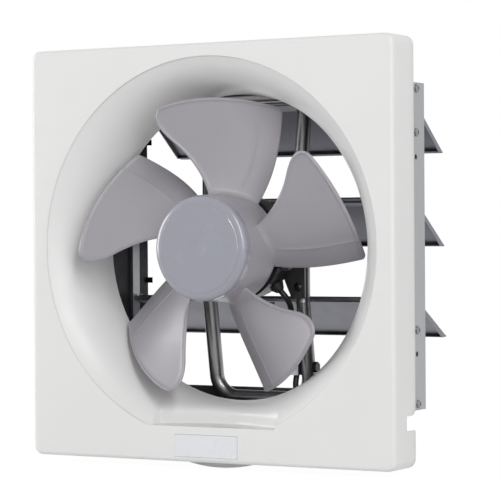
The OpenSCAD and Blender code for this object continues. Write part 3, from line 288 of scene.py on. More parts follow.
def step_profile(s, drop, radius, wall):
    """Depth at a distance s inside an edge of a pocket that is drop deep."""
    r = min(radius, drop / 2)
    if s <= -r:
        return 0.0
    if s < 0:
        return r - math.sqrt(r * r - (s + r) ** 2)
    if s < wall:
        return r + (drop - 2 * r) * s / wall
    if s < wall + r:
        return drop - r + math.sqrt(r * r - (s - wall - r) ** 2)
    return drop


def grip_drop(x, z, base, grow):
    """How much deeper than the face around it the finger grip is; grow widens it for the inner skin."""
    floor = mouth_depth if grow == 0 else (lambda r: skin_depth(r) + GRIP_BACK)
    across = math.hypot(x, soft_floor(z, GRIP_TOP, GRIP_SOFT))
    drop = floor(across) - base
    if drop <= GRIP_LEAST:
        return 0.0
    edges = [(x - GRIP_LEFT + grow, GRIP_WALLS["left"]), (GRIP_RIGHT + grow - x, GRIP_WALLS["right"]),
             (z - GRIP_LOW + grow, GRIP_WALLS["low"])]
    return min(step_profile(s, drop, GRIP_EDGE_R, wall) for s, wall in edges)


def front_depth(x, z):
    """Depth of the panel's visible front at a place."""
    base = mouth_depth(math.hypot(x, z)) if z > GRIP_LOW else 0.0
    seat = min(PLATE_W / 2 + SEAT_GAP - abs(x), PLATE_H / 2 + SEAT_GAP - abs(z - PLATE_Z))
    if seat > -2 * SEAT_SLOPE:
        return base + PLATE_SEAT * share((seat + SEAT_SLOPE) / (2 * SEAT_SLOPE))
    return base + grip_drop(x, z, base, 0.0)


def inner_depth(x, z):
    """Depth of the panel's inner skin at a place."""
    base = skin_depth(math.hypot(x, z))
    return base + grip_drop(x, z, base, WALL)


# places along the right side where the rim turns into the notch, as rounded_square counts them
NOTCH_STOPS = {-(z + PANEL_DROP) for z in
               [NOTCH_LOW + s for s in NOTCH_EDGE] + [NOTCH_TOP - s for s in (0, 3, 6)]
               + [NOTCH_TOP + NOTCH_R * (1 - math.cos(math.radians(a))) for a in span(15, 90, 5)]}


def rounded_square(inset):
    """Loop of (x, z) places round the panel, inset from its edge, with the same count for every inset."""
    half = PANEL_W / 2
    r = CORNER_R
    flat = half - r
    loop = []
    for turn, (cx, cz) in zip((0, 90, 180, 270), ((1, 1), (-1, 1), (-1, -1), (1, -1))):
        for angle in span(turn, turn + 90, CORNER_STEPS):
            a = math.radians(angle)
            reach = r - inset
            loop.append((cx * flat + reach * math.cos(a), cz * flat + reach * math.sin(a) - PANEL_DROP))
        along = [flat - 2 * flat * k / SIDE_STEPS for k in range(1, SIDE_STEPS)]
        if turn == 270:
            along = sorted(set(along) | NOTCH_STOPS, reverse=True)
        edge = half - inset
        for u in along:
            if turn == 0:
                loop.append((u, edge - PANEL_DROP))
            elif turn == 90:
                loop.append((-edge, u - PANEL_DROP))
            elif turn == 180:
                loop.append((-u, -edge - PANEL_DROP))
            else:
                loop.append((edge, -u - PANEL_DROP))
    return loop


def rear_rim(x, z):
    """Y of the panel's rear rim at a place: the wall's plane, or the cord notch."""
    if x < PANEL_W / 2 - 2 * CORNER_R or z < NOTCH_LOW or z > NOTCH_TOP + NOTCH_R:
        return 0.0
    if z <= NOTCH_TOP:
        return -NOTCH_D
    up = NOTCH_TOP + NOTCH_R - z
    return -NOTCH_R + math.sqrt(max(NOTCH_R ** 2 - up ** 2, 0.0))


SAME_PLACE = 1e-5        # places nearer than this are one for the triangulation


def triangulated(loops, lines, depth, keep):
    """Triangles over the area between closed loops of places, with edges along the lines of places."""
    places, edges = [], []

    def add(chain, closed):
        first = len(places)
        places.extend(Vector(p) for p in chain)
        count = len(chain)
        edges.extend((first + i, first + (i + 1) % count) for i in range(count if closed else count - 1))

    for loop in loops:
        add(loop, True)
    for line in lines:
        add(line, False)
    out, _, faces = delaunay_2d_cdt(places, edges, [], 0, SAME_PLACE)[:3]
    kept = []
    for face in faces:
        cx = sum(out[i][0] for i in face) / len(face)
        cz = sum(out[i][1] for i in face) / len(face)
        if keep(cx, cz):
            a, b, c = (out[i] for i in face[:3])
            turn = (b[0] - a[0]) * (c[1] - a[1]) - (b[1] - a[1]) * (c[0] - a[0])
            kept.append(tuple(face) if turn < 0 else tuple(face[::-1]))
    points = [(p[0], FACE_Y + depth(p[0], p[1]), p[1]) for p in out]
    return points, kept


def circle_places(r):
    """Closed ring of (x, z) places round the fan's axis."""
    angles = [2 * math.pi * i / RING_STEPS for i in range(RING_STEPS)]
    return [(r * math.cos(a), r * math.sin(a)) for a in angles]


def in_grip(x, z):
    """Whether a place is in the area that grip_lines covers."""
    margin = GRIP_MARGIN + GRIP_EDGE_R
    return GRIP_LEFT - margin < x < GRIP_RIGHT + margin and z < GRIP_TOP + GRIP_SOFT


def cut_circles(radii):
    """Circles of places round the fan's axis, left open where they would cross the finger grip."""
    runs = []
    for r in radii:
        run = []
        for x, z in circle_places(r):
            if not in_grip(x, z):
                run.append((x, z))
                continue
            if len(run) > 1:
                runs.append(run)
            run = []
        if len(run) > 1:
            runs.append(run)
    return runs


def grip_lines(grow):
    """Lines along and across the finger grip that its edges and crease run on."""
    left, right, low = GRIP_LEFT - grow, GRIP_RIGHT + grow, GRIP_LOW - grow
    top = GRIP_TOP + GRIP_SOFT
    along = span(left - GRIP_MARGIN, right + GRIP_MARGIN, GRIP_ALONG)
    across = span(low - GRIP_MARGIN, top, GRIP_UP)
    r = GRIP_EDGE_R

    def offsets(side):
        wall = GRIP_WALLS[side]
        return [-r, -0.7 * r, -0.3 * r, 0, wall / 2, wall, wall + 0.3 * r, wall + r]

    heights = [low + s for s in offsets("low")] + span(low + 2.5 * r, top, GRIP_SLOPE)
    sides = [left + s for s in offsets("left")] + [right - s for s in offsets("right")]
    return [[(x, z) for x in along] for z in heights] + [[(x, z) for z in across] for x in sides]


def build_panel(material):
    """Front panel: its visible front, its edge and sides, its inner skin and the rim of its throat."""
    form = Build()

    # face and bell mouth
    throat = circle_places(THROAT_R)
    arc_angles = [math.radians(a) for a in span(*MOUTH_ANGLES, MOUTH_STEPS)]
    mouth_radii = [FLARE_ARC + THROAT_R - FLARE_ARC * math.cos(a) for a in arc_angles]
    radii = [STEP_R - STEP_W * stop for stop in STEP_STOPS]
    radii += [r for r in mouth_radii if r < radii[-1] - RING_GAP]
    seat = []
    for s in (-SEAT_SLOPE, SEAT_SLOPE):
        w, h = PLATE_W / 2 + SEAT_GAP - s, PLATE_H / 2 + SEAT_GAP - s
        seat.append([(-w, PLATE_Z - h), (w, PLATE_Z - h), (w, PLATE_Z + h), (-w, PLATE_Z + h)])
    chin = [[(x, GRIP_LOW + s) for x in span(CHIN_LEFT, GRIP_LEFT - GRIP_MARGIN, 6)]
            for s in (-CHIN_SLOPE, CHIN_SLOPE)]
    points, faces = triangulated(
        [rounded_square(EDGE_R), throat] + seat, cut_circles(radii) + grip_lines(0.0) + chin, front_depth,
        lambda x, z: math.hypot(x, z) > THROAT_R - RIM_SLACK)
    form.patch(points, faces)

    # rounded edge, sides and rear rim
    rows = []
    for a in span(0, 90, 6):
        inset = EDGE_R * (1 - math.sin(math.radians(a)))
        depth = EDGE_R * (1 - math.cos(math.radians(a)))
        rows.append([(x, FACE_Y + depth, z) for x, z in rounded_square(inset)])
    for t in (0.25, 0.5, 0.75):
        rows.append([(x, (FACE_Y + EDGE_R) * (1 - t) + (rear_rim(x, z) - REAR_ROUND[0][1]) * t, z)
                     for x, z in rounded_square(0.0)])
    for inset, before in REAR_ROUND:
        rows.append([(x, rear_rim(x, z) - before, z) for x, z in rounded_square(inset)])
    for t in (0.33, 0.66, 1.0):
        rows.append([(x, rear_rim(x, z) * (1 - t) + (FACE_Y + WALL + INNER_BEVEL) * t, z)
                     for x, z in rounded_square(WALL)])
    inner_edge = rounded_square(WALL + INNER_BEVEL)
    rows.append([(x, FACE_Y + WALL, z) for x, z in inner_edge])
    form.grid(rows, closed_rows=True)

    # inner skin
    skin_r = THROAT_R + FLARE_WALL
    skin_radii = [r + FLARE_WALL for r in mouth_radii if r + FLARE_WALL < SKIN_RING_END]
    points, faces = triangulated(
        [inner_edge, circle_places(skin_r)], cut_circles(skin_radii) + grip_lines(WALL), inner_depth,
        lambda x, z: math.hypot(x, z) > skin_r - RIM_SLACK)
    form.patch(points, faces, flip=True)

    # rounded rim of the throat
    rows = []
    for a in span(0, 180, 4):
        r = THROAT_R + FLARE_WALL / 2 * (1 - math.cos(math.radians(a)))
        rows.append([(x * r / THROAT_R, FACE_Y + THROAT_D, z * r / THROAT_R) for x, z in throat])
    form.grid(rows, closed_rows=True, flip=True)
    return form.make("panel_moulding", material, smooth_below=40)


# ------------------------------------------------------------------ impeller

def bow(root, tip, bulge, v):
    """Value at v between root and tip, with a bulge halfway."""
    return root + (tip - root) * v + bulge * v * (1 - v)


def corner_in(r, corner):
    """How far a round corner draws a blade's edge in at a radius."""
    reach = r - TIP_R + corner
    return 0.0 if reach < 0 else corner - math.sqrt(max(corner ** 2 - reach ** 2, 0.0))


def blade_edges(r):
    """Place v along a blade, 0 at its root and 1 at its tip, and the angles of its two edges there."""
    v = (r - HUB_FRONT_R) / (TIP_R - HUB_FRONT_R)
    lead = bow(LEAD_ROOT_A, LEAD_ROOT_A + LEAD_SWEEP_A, 0, v)
    trail = bow(TRAIL_ROOT_A, TRAIL_ROOT_A + TRAIL_SWEEP_A, TRAIL_SWEEP_BOW, v)
    return v, lead, trail


def blade_mid(u, r):
    """Place on a blade's mid surface, from its trailing edge at u = 0 to its leading edge at u = 1."""
    v, lead, trail = blade_edges(r)
    lead_edge = lead - math.degrees(corner_in(r, LEAD_CORNER_R) / r)
    trail_edge = trail + math.degrees(corner_in(r, TRAIL_CORNER_R) / r)
    a = trail_edge + (lead_edge - trail_edge) * u
    w = (a - trail) / (lead - trail)
    trail_depth = bow(TRAIL_ROOT_D, TRAIL_TIP_D, TRAIL_BOW, v)
    lead_depth = bow(LEAD_ROOT_D, LEAD_TIP_D, LEAD_BOW, v)
    depth = trail_depth * (1 - w) + lead_depth * w - CAMBER * v * 4 * w * (1 - w)
    inward = math.radians(a - trail) * r          # distance from the trailing edge along the arc
    depth += FOLD_RISE * share(1 - inward / FOLD_IN) * share(4 * v - 0.4)         # none near the root
    angle = math.radians(a)
    return Vector((r * math.cos(angle), FACE_Y + depth, r * math.sin(angle)))


def blade_normal(u, r):
    """Direction across a blade, from two short steps on its mid surface that stay inside its edges."""
    step_u, step_r = 0.01, 0.5
    u = min(max(u, 0.0), 1 - step_u)
    r = min(r, TIP_R - step_r - 0.1)
    here = blade_mid(u, r)
    return (blade_mid(u + step_u, r) - here).cross(blade_mid(u, r + step_r) - here).normalized()


def blade_chord(r):
    """Length of a blade's arc at a radius, between its edges."""
    _, lead, trail = blade_edges(r)
    return r * math.radians(lead - trail) - corner_in(r, LEAD_CORNER_R) - corner_in(r, TRAIL_CORNER_R)


def fold_place(r):
    """Distance of the fold from a blade's trailing edge at a radius."""
    return FOLD_IN - corner_in(r, TRAIL_CORNER_R)


def blade_places(r):
    """Places across a blade, as millimetres from its trailing edge: close at its edges and its fold."""
    chord = blade_chord(r)
    fold = fold_place(r)
    low, high = fold + FOLD_STOPS[0], fold + FOLD_STOPS[-1]
    inner, outer = RIM_STOPS[-1], chord - RIM_STOPS[-1]
    places = list(RIM_STOPS)
    places += span(inner, low, BLADE_STEPS["behind fold"])[1:-1] + [fold + d for d in FOLD_STOPS]
    places += span(high, outer, BLADE_STEPS["before fold"])[1:-1] + [chord - d for d in RIM_STOPS[::-1]]
    return places, chord


def blade_thick(inward, chord, r):
    """Thickness of a blade's rear and front half: round edges, a root fillet, a lip and the fold's ridge."""
    rim = max(min(inward, chord - inward, TIP_R - r), 0.0)
    half = BLADE_T / 2
    if rim < half:
        half *= math.sqrt(1 - (1 - rim / half) ** 2)
    nearness = max(1 - (r - HUB_FRONT_R - 1.0) / ROOT_REACH, 0.0)
    middle = max(math.sin(math.pi * inward / chord), 0)
    fillet = ROOT_FILLET * nearness ** 2 * middle ** ROOT_TAPER
    grown = share((r - HUB_FRONT_R - TRIM_START) / TRIM_GROWTH)
    lip = LIP_RISE * math.exp(-((min(chord - inward, TIP_R - r) - LIP_IN) / LIP_W) ** 2) * grown
    ridge = FOLD_RIDGE * max(1 - abs(inward - fold_place(r)) / FOLD_STOPS[-1], 0.0) * grown
    return half + fillet, half + fillet + (lip + ridge if rim > LIP_FREE else 0.0)


def blade_rows(turn):
    """Closed rings of points round a blade's section, from its root to its tip."""
    radii = span(HUB_FRONT_R - ROOT_SINK, TIP_R - RIM_STOPS[-1], BLADE_STEPS["outward"])
    radii += [TIP_R - d for d in RIM_STOPS[-2::-1]]
    spin = Matrix.Rotation(-math.radians(turn), 3, "Y")
    rings = []
    for r in radii:
        rear, front = [], []
        places, chord = blade_places(r)
        for inward in places:
            u = inward / chord
            mid, normal = blade_mid(u, r), blade_normal(u, r)
            behind, ahead = blade_thick(inward, chord, r)
            rear.append(spin @ (mid + normal * behind))
            front.append(spin @ (mid - normal * ahead))
        rings.append(rear + front[::-1])
    return rings


def hub_radius(y):
    """Radius of the hub's tapered outside, from the cap's shoulder to its rear end."""
    end = FACE_Y + HUB_REAR_D
    return HUB_FRONT_R + (HUB_REAR_R - HUB_FRONT_R) * (y - CAP_Y - SHOULDER_R) / (end - CAP_Y - SHOULDER_R)


def hub_profile():
    """Closed (radius, y) profile of the hub: its web, its tapered wall and its boss."""
    end = FACE_Y + HUB_REAR_D
    web_r, web_rear = hub_radius(WEB_Y), WEB_Y + WEB_T
    outside = [(hub_radius(y), y) for y in span(WEB_Y + HUB_BEVEL / 2, end - 2 * HUB_BEVEL, 14)]
    inside = [(hub_radius(y) - HUB_WALL, y) for y in span(end - HUB_BEVEL, web_rear + HUB_COVE, 8)]
    return ([(BORE_R, WEB_Y), (web_r - HUB_BEVEL, WEB_Y)] + outside
            + [(HUB_REAR_R - HUB_EDGE, end), (HUB_REAR_R - HUB_WALL + HUB_BEVEL, end)] + inside
            + [(web_r - HUB_WALL - HUB_COVE, web_rear), (HUB_BOSS_R + HUB_COVE, web_rear),
               (HUB_BOSS_R, web_rear + HUB_COVE), (HUB_BOSS_R, HUB_BOSS_END - HUB_EDGE),
               (HUB_BOSS_R - HUB_EDGE, HUB_BOSS_END), (BORE_R, HUB_BOSS_END)])


def build_impeller(material):
    """Hub and blades; each blade is closed at its root, inside the hub's wall."""
    form = Build()
    form.grid(lathe(hub_profile(), HUB_STEPS), closed_rows=True, flip=True)
    for i in range(BLADES):
        rings = blade_rows(360.0 / BLADES * i)
        form.grid(rings, closed_rows=True)
        count = len(rings[0])
        root = [(k, k + 1, count - 2 - k, count - 1 - k) for k in range(count // 2 - 1)]
        form.patch(rings[0], root, flip=True)
    return form.make("impeller_moulding", material, smooth_below=42)


def build_cap(material):
    """Hub cap: a lathed shell whose flat stands a little proud of its round shoulder."""
    profile = [(0.0, CAP_Y + MARK_D), (MARK_R, CAP_Y + MARK_D), (MARK_R + MARK_SLOPE, CAP_Y),
               (MARK_R + MARK_EDGE, CAP_Y), (FLAT_R - FLAT_BEVEL, CAP_Y), (FLAT_R, CAP_Y + FLAT_STEP),
               (FLAT_R + FLAT_LEDGE, CAP_Y + FLAT_STEP)]
    centre_y = CAP_Y + SHOULDER_R
    height = SHOULDER_R - FLAT_STEP
    for bend in (math.radians(a) for a in span(4, 90, 14)):
        profile.append((FLAT_R + SHOULDER_R * math.sin(bend), centre_y - height * math.cos(bend)))
    profile += [(HUB_FRONT_R, WEB_Y), (HUB_FRONT_R - HUB_WALL, WEB_Y)]
    inner_r = SHOULDER_R - HUB_WALL
    for bend in (math.radians(a) for a in span(0, 90, 8)):
        profile.append((FLAT_R + inner_r * math.cos(bend), centre_y - inner_r * math.sin(bend)))
    profile.append((0.0, CAP_Y + HUB_WALL))
    form = Build()
    form.grid(lathe(profile, CAP_STEPS, closed=False), closed_rows=True, flip=True)
    return form.make("cap_moulding", material, smooth_below=30)


# ---------------------------------------------------------------- motor lead

def smooth_route(points, steps):
    """Catmull-Rom curve through the points, with that many steps from one to the next."""
    p = [Vector(q) for q in points]
    p = [p[0] * 2 - p[1]] + p + [p[-1] * 2 - p[-2]]
    out = []
    for i in range(1, len(p) - 2):
        for k in range(steps):
            t = k / steps
            a, b, c, d = p[i - 1], p[i], p[i + 1], p[i + 2]
            out.append(0.5 * (2 * b + (c - a) * t + (2 * a - 5 * b + 4 * c - d) * t ** 2
                              + (3 * b - a - 3 * c + d) * t ** 3))
    return out + [p[-2]]


def build_lead(material):
    """Round tube along the lead's route; also gives that route and its length in metres."""
    route = smooth_route(LEAD_PATH, LEAD_STEPS)
    angles = [2 * math.pi * k / LEAD_SIDES for k in range(LEAD_SIDES)]
    rings = []
    across = Vector((0, 1, 0))
    for i, here in enumerate(route):
        ahead = (route[min(i + 1, len(route) - 1)] - route[max(i - 1, 0)]).normalized()
        across = (across - ahead * across.dot(ahead)).normalized()
        other = ahead.cross(across)
        rings.append([here + LEAD_R * (across * math.cos(a) + other * math.sin(a)) for a in angles])
    form = Build()
    form.grid(rings, closed_rows=True, flip=True)
    form.patch(rings[0], [tuple(range(LEAD_SIDES))])
    form.patch(rings[-1], [tuple(range(LEAD_SIDES))], flip=True)
    made = form.make("lead_jacket", material, smooth_below=50)
    length = sum((b - a).length for a, b in zip(route, route[1:])) * MM
    return made, [tuple(p * MM) for p in route], length


# ----------------------------------------------------------------- materials

FAR = 1000.0
# places coloured near-black: the inside of the body's duct, and the rear foot of the louvres' rails, whose
# dark is painted shade
DUCT = ((-139.2, 139.2), (0.3, FAR), (-137.7, 137.7))
RAIL_FOOT_SHADE = ((-FAR, FAR), (74.0, FAR), (-FAR, FAR))
# near-black tone of both boxes; at the rails' rear foot it is painted shade
DUCT_AND_SHADE_TONE = (0.02, 0.021, 0.025)


class Shader:
    """A node material around one Principled shader."""

    def __init__(self, name, color, roughness, metallic=0.0, **sockets):
        self.material = bpy.data.materials.new(name)
        self.material.use_nodes = True
        self.nodes, self.links = self.material.node_tree.nodes, self.material.node_tree.links
        self.shader = self.nodes["Principled BSDF"]
        self.color, self.roughness = color, roughness
        self.set("Base Color", (*color, 1.0))
        self.set("Roughness", roughness)
        self.set("Metallic", metallic)
        for key, value in sockets.items():
            self.set(key.replace("_", " "), value)
        self.place = self.nodes.new("ShaderNodeTexCoord").outputs["Object"]
        self.height = None

    def set(self, socket, value):
        self.shader.inputs[socket].default_value = value

    def stretched(self, stretch):
        """Places on the object, stretched along each axis."""
        mapping = self.nodes.new("ShaderNodeMapping")
        mapping.inputs["Scale"].default_value = stretch
        self.links.new(self.place, mapping.inputs["Vector"])
        return mapping.outputs[0]

    def noise(self, scale, detail, stretch=(1, 1, 1)):
        """Noise over the object; scale is in cells for each metre."""
        noise = self.nodes.new("ShaderNodeTexNoise")
        noise.inputs["Scale"].default_value = scale
        noise.inputs["Detail"].default_value = detail
        noise.inputs["Roughness"].default_value = 0.5
        self.links.new(self.stretched(stretch), noise.inputs["Vector"])
        return noise.outputs["Fac"]

    def cells(self, scale):
        """Random value of each crystal cell; the cells are drawn out upwards."""
        cells = self.nodes.new("ShaderNodeTexVoronoi")
        cells.inputs["Scale"].default_value = scale
        self.links.new(self.stretched((1, 1, 0.6)), cells.inputs["Vector"])
        gray = self.nodes.new("ShaderNodeRGBToBW")
        self.links.new(cells.outputs["Color"], gray.inputs[0])
        return gray.outputs[0]

    def calculated(self, operation, first, second):
        """Result of an operation on a socket and on a number or another socket."""
        node = self.nodes.new("ShaderNodeMath")
        node.operation = operation
        self.links.new(first, node.inputs[0])
        if isinstance(second, float):
            node.inputs[1].default_value = second
        else:
            self.links.new(second, node.inputs[1])
        return node.outputs[0]

    def mix(self, factor):
        """Mix node of two colours, linked to the base colour."""
        node = self.nodes.new("ShaderNodeMix")
        node.data_type = "RGBA"
        self.links.new(factor, node.inputs["Factor"])
        self.links.new(node.outputs["Result"], self.shader.inputs["Base Color"])
        return node

    def ramp(self, value, low, high, out_low, out_high):
        """Maps a value's range onto another."""
        node = self.nodes.new("ShaderNodeMapRange")
        numbers = {"From Min": low, "From Max": high, "To Min": out_low, "To Max": out_high}
        for socket, number in numbers.items():
            node.inputs[socket].default_value = number
        self.links.new(value, node.inputs["Value"])
        return node.outputs["Result"]

    def tint(self, value, dark, light, low=0.3, high=0.7):
        """Base colour between two tones of the material's colour."""
        mix = self.mix(self.ramp(value, low, high, 0.0, 1.0))
        mix.inputs["A"].default_value = (*[c * dark for c in self.color], 1.0)
        mix.inputs["B"].default_value = (*[min(c * light, 1.0) for c in self.color], 1.0)

    def paint_box(self, color, limits):
        """Paints the faces inside a box, given as the low and high end in millimetres along each axis."""
        apart = self.nodes.new("ShaderNodeSeparateXYZ")
        self.links.new(self.place, apart.inputs[0])
        inside = None
        for axis, (low, high) in zip("XYZ", limits):
            for number, way in ((low * MM, "GREATER_THAN"), (high * MM, "LESS_THAN")):
                test = self.calculated(way, apart.outputs[axis], number)
                inside = test if inside is None else self.calculated("MULTIPLY", inside, test)
        plain = self.shader.inputs["Base Color"].links[0].from_socket
        mix = self.mix(inside)
        mix.inputs["B"].default_value = (*color, 1.0)
        self.links.new(plain, mix.inputs["A"])
        for name, painted in (("Metallic", 0.1), ("Specular IOR Level", 0.12)):
            socket = self.shader.inputs[name]
            self.links.new(self.ramp(inside, 0.0, 1.0, socket.default_value, painted), socket)

    def gloss(self, value, spread, low=0.3, high=0.7):
        """Roughness that varies round the material's own."""
        uneven = self.ramp(value, low, high, self.roughness - spread, self.roughness + spread)
        self.links.new(uneven, self.shader.inputs["Roughness"])

    def bump(self, value, distance, strength=1.0):
        """Relief of that height in metres, on top of what is there."""
        node = self.nodes.new("ShaderNodeBump")
        node.inputs["Strength"].default_value = strength
        node.inputs["Distance"].default_value = distance
        self.links.new(value, node.inputs["Height"])
        if self.height is not None:
            self.links.new(self.height, node.inputs["Normal"])
        self.height = node.outputs["Normal"]
        self.links.new(self.height, self.shader.inputs["Normal"])


def moulded(name, color, roughness, tone=0.03, **sockets):
    """Injection-moulded plastic: faint cloudiness, fine grain, uneven gloss."""
    s = Shader(name, color, roughness, **sockets)
    s.tint(s.noise(14, 4), 1 - tone, 1 + tone)
    s.gloss(s.noise(55, 4), 0.05)
    s.bump(s.noise(1100, 2), 0.000008)
    s.bump(s.noise(90, 2), 0.00004, 0.6)
    return s.material


def sheet_metal(name, color, roughness, spangle=200, metallic=0.85, dark_box=None):
    """Galvanised sheet: crystal spangle, fine grain and soft stains; near-black inside a box, which on the
    rails' rear foot is painted shade.
    """
    s = Shader(name, color, roughness, metallic)
    low, high = 0.2, 0.8
    s.tint(s.cells(spangle), 0.96, 1.04, low, high)
    if dark_box:
        # near-black colour inside the box; on the rails' rear foot it is painted shade
        s.paint_box(DUCT_AND_SHADE_TONE, dark_box)
    s.gloss(s.cells(spangle), 0.05, low, high)
    s.bump(s.noise(900, 3), 0.00002)
    s.bump(s.noise(30, 2), 0.0002, 0.4)
    return s.material


def turned_metal(name, color, roughness):
    """Plated or turned metal with fine streaks."""
    s = Shader(name, color, roughness, metallic=1.0)
    s.tint(s.noise(400, 3), 0.92, 1.06)
    s.gloss(s.noise(700, 3), 0.08)
    s.bump(s.noise(1500, 2, stretch=(1, 4, 1)), 0.00001)
    return s.material


def enamel(name, color, roughness, coat, metallic=0.0):
    """Stoved paint on steel: soft orange peel under a clear sheen."""
    s = Shader(name, color, roughness, metallic, Coat_Weight=coat, Coat_Roughness=0.12)
    s.tint(s.noise(60, 4), 0.85, 1.15)
    s.gloss(s.noise(120, 3), 0.06)
    s.bump(s.noise(420, 2), 0.000008)
    return s.material


def rubber(name, color, roughness):
    """Matt black rubber or soft jacket."""
    s = Shader(name, color, roughness)
    s.tint(s.noise(200, 4), 0.8, 1.25)
    s.gloss(s.noise(150, 3), 0.08)
    s.bump(s.noise(1200, 3), 0.00003)
    return s.material


def wound_wire(name, color):
    """Enamelled copper turns running round the fan's axis."""
    s = Shader(name, color, 0.3, 0.9)
    wave = s.nodes.new("ShaderNodeTexWave")
    wave.wave_type, wave.rings_direction = "RINGS", "Y"
    wave.inputs["Scale"].default_value = 330
    wave.inputs["Distortion"].default_value = 0.4
    s.links.new(s.place, wave.inputs["Vector"])
    s.tint(wave.outputs["Fac"], 0.55, 1.1, 0.1, 0.9)
    s.bump(wave.outputs["Fac"], 0.0002)
    return s.material


def make_materials():
    """The procedural material of each slot."""
    return {
        "panel_plastic": moulded("panel_plastic", (0.785, 0.78, 0.775), 0.34, tone=0.008),
        "label_plastic": moulded("label_plastic", (0.76, 0.775, 0.81), 0.3, tone=0.01),
        "tray_plastic": moulded("tray_plastic", (0.89, 0.89, 0.89), 0.4, tone=0.01),
        "blade_plastic": moulded("blade_plastic", (0.345, 0.33, 0.36), 0.36, tone=0.02),
        "hub_plastic": moulded("hub_plastic", (0.30, 0.305, 0.355), 0.24, tone=0.015, Coat_Weight=0.6,
                               Coat_Roughness=0.12),
        "block_plastic": moulded("block_plastic", (0.72, 0.71, 0.66), 0.45),
        "galvanised_sheet": sheet_metal("galvanised_sheet", (0.41, 0.42, 0.43), 0.42, dark_box=DUCT),
        # the rails' sheet, with painted shade on its rear foot
        "rail_steel_and_shade": sheet_metal("rail_steel_and_shade", (0.32, 0.33, 0.345), 0.38, dark_box=RAIL_FOOT_SHADE),
        "louvre_steel": sheet_metal("louvre_steel", (0.22, 0.222, 0.25), 0.4, spangle=90, metallic=0.7),
        "core_steel": sheet_metal("core_steel", (0.32, 0.33, 0.34), 0.45, spangle=300),
        "spring_steel": turned_metal("spring_steel", (0.55, 0.56, 0.58), 0.32),
        "bright_screws": turned_metal("bright_screws", (0.27, 0.275, 0.29), 0.2),
        "black_screws": turned_metal("black_screws", (0.06, 0.06, 0.065), 0.35),
        "shaft_steel": turned_metal("shaft_steel", (0.60, 0.61, 0.62), 0.22),
        "bearing_bronze": turned_metal("bearing_bronze", (0.55, 0.38, 0.18), 0.35),
        "copper_wire": wound_wire("copper_wire", (0.62, 0.26, 0.10)),
        "dark_paint": enamel("dark_paint", (0.09, 0.09, 0.095), 0.34, coat=0.5, metallic=0.6),
        "stay_paint": enamel("stay_paint", (0.25, 0.25, 0.255), 0.33, coat=0.5, metallic=0.9),
        "motor_paint": enamel("motor_paint", (0.02, 0.02, 0.022), 0.4, coat=0.2),
        "black_rubber": rubber("black_rubber", (0.02, 0.02, 0.02), 0.6),
        "cord_jacket": rubber("cord_jacket", (0.012, 0.012, 0.013), 0.42),
    }


# nodes whose finish differs from the others of their slot; the rails' finish carries painted shade on their
# rear foot
OWN_FINISH = {"plate_screws": "black_screws", "clamp_bolt": "black_screws",
              "rail_left": "rail_steel_and_shade", "rail_right": "rail_steel_and_shade", "motor_stay": "stay_paint"}


def dress_cad(materials):
    """Gives every CAD node the procedural material of its slot, or the finish that is its own."""
    for name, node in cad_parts.items():
        for slot in node.material_slots:
            key = slot.material.name.split(".")[0] if slot.material else ""
            if key not in materials:
                raise SystemExit(f"{name} has a material with no finish: {key}")
            slot.material = materials[OWN_FINISH.get(name, key)]


# --------------------------------------------------------------------- stage

FLOOR_Z = -185.2
FLOOR_HALF, FLOOR_STEPS = 4000.0, 8
FLOOR_TONE, FLOOR_GLOW = 0.86, 1.05
FLOOR_WHITE_SHARE = 0.92         # the rest of the floor's look is its lit and shaded surface


def seen_rays(nodes, links):
    """1 for the rays of the camera and of mirror images, 0 for those that light the object."""
    paths = nodes.new("ShaderNodeLightPath")
    either = nodes.new("ShaderNodeMath")
    either.operation = "MAXIMUM"
    links.new(paths.outputs["Is Camera Ray"], either.inputs[0])
    links.new(paths.outputs["Is Glossy Ray"], either.inputs[1])
    return either.outputs[0]


def mix_shaders(nodes, links, factor, first, second, output):
    """Sends the mix of two shaders to the output node."""
    mix = nodes.new("ShaderNodeMixShader")
    for i, socket in enumerate((factor, first, second)):
        links.new(socket, mix.inputs[i])
    links.new(mix.outputs[0], nodes[output].inputs["Surface"])


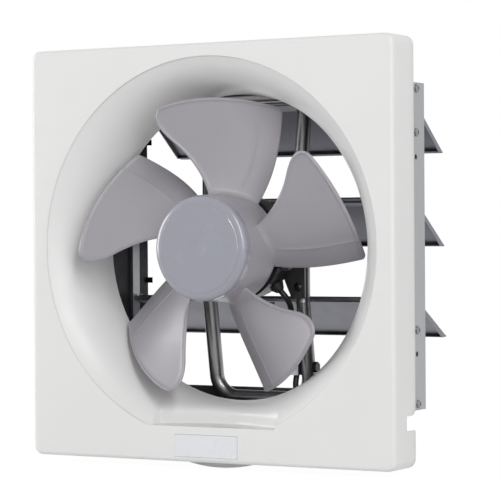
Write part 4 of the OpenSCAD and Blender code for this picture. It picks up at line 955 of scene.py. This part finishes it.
def plain_stage():
    """Pale floor; the camera and mirror images see it nearly white, with the object's soft shadow."""
    form = Build()
    along = span(-FLOOR_HALF, FLOOR_HALF, FLOOR_STEPS)
    form.grid([[(x, y, FLOOR_Z) for x in along] for y in along])
    s = Shader("floor_paper", (FLOOR_TONE, FLOOR_TONE, FLOOR_TONE), 0.9)
    white = s.calculated("MULTIPLY", seen_rays(s.nodes, s.links), FLOOR_WHITE_SHARE)
    glow = s.nodes.new("ShaderNodeEmission")
    glow.inputs["Color"].default_value = (1, 1, 1, 1)
    glow.inputs["Strength"].default_value = FLOOR_GLOW
    mix_shaders(s.nodes, s.links, white, s.shader.outputs[0], glow.outputs[0], "Material Output")
    form.make("floor", s.material, smooth_below=80)


AMBIENT = 0.46           # strength of the world's light on the object
# lamps, which all face the fan's centre: place in metres, power in watts, width and height in metres
LAMPS = {
    "key": ((2.1, -2.1, 1.9), 38, 0.5, 2.2),
    "right": ((2.5, -2.1, 0.5), 18, 1.4, 1.4),
    "left": ((-2.8, -0.9, 0.3), 44, 1.6, 1.6),
}


def light_scene():
    """White world that lights the object less than it shows, and the lamps."""
    world = bpy.data.worlds.new("studio")
    world.use_nodes = True
    nodes, links = world.node_tree.nodes, world.node_tree.links
    ambient, seen = nodes["Background"], nodes.new("ShaderNodeBackground")
    for background, strength in ((ambient, AMBIENT), (seen, 1.0)):
        background.inputs["Color"].default_value = (1, 1, 1, 1)
        background.inputs["Strength"].default_value = strength
    mix_shaders(nodes, links, seen_rays(nodes, links), ambient.outputs[0], seen.outputs[0], "World Output")
    bpy.context.scene.world = world
    for name, (at, energy, width, height) in LAMPS.items():
        data = bpy.data.lights.new(name, "AREA")
        data.shape = "RECTANGLE"
        data.energy, data.size, data.size_y = energy, width, height
        made = bpy.data.objects.new(name, data)
        made.location = at
        made.rotation_euler = (-Vector(at)).to_track_quat("-Z", "Y").to_euler()
        bpy.context.scene.collection.objects.link(made)


# ------------------------------------------------------------------ assembly

place_camera()
materials = make_materials()
dress_cad(materials)

lead, lead_route, lead_length = build_lead(materials["cord_jacket"])
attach(lead, "frame")
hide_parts("motor_lead")

panel = build_panel(materials["panel_plastic"])
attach(panel, "frame")
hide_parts("front_panel")

impeller = build_impeller(materials["blade_plastic"])
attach(impeller, "spinner")
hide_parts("impeller")

cap = build_cap(materials["hub_plastic"])
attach(cap, "spinner")
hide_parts("hub_cap")

plain_stage()
light_scene()
bpy.context.scene.view_settings.view_transform = "Standard"
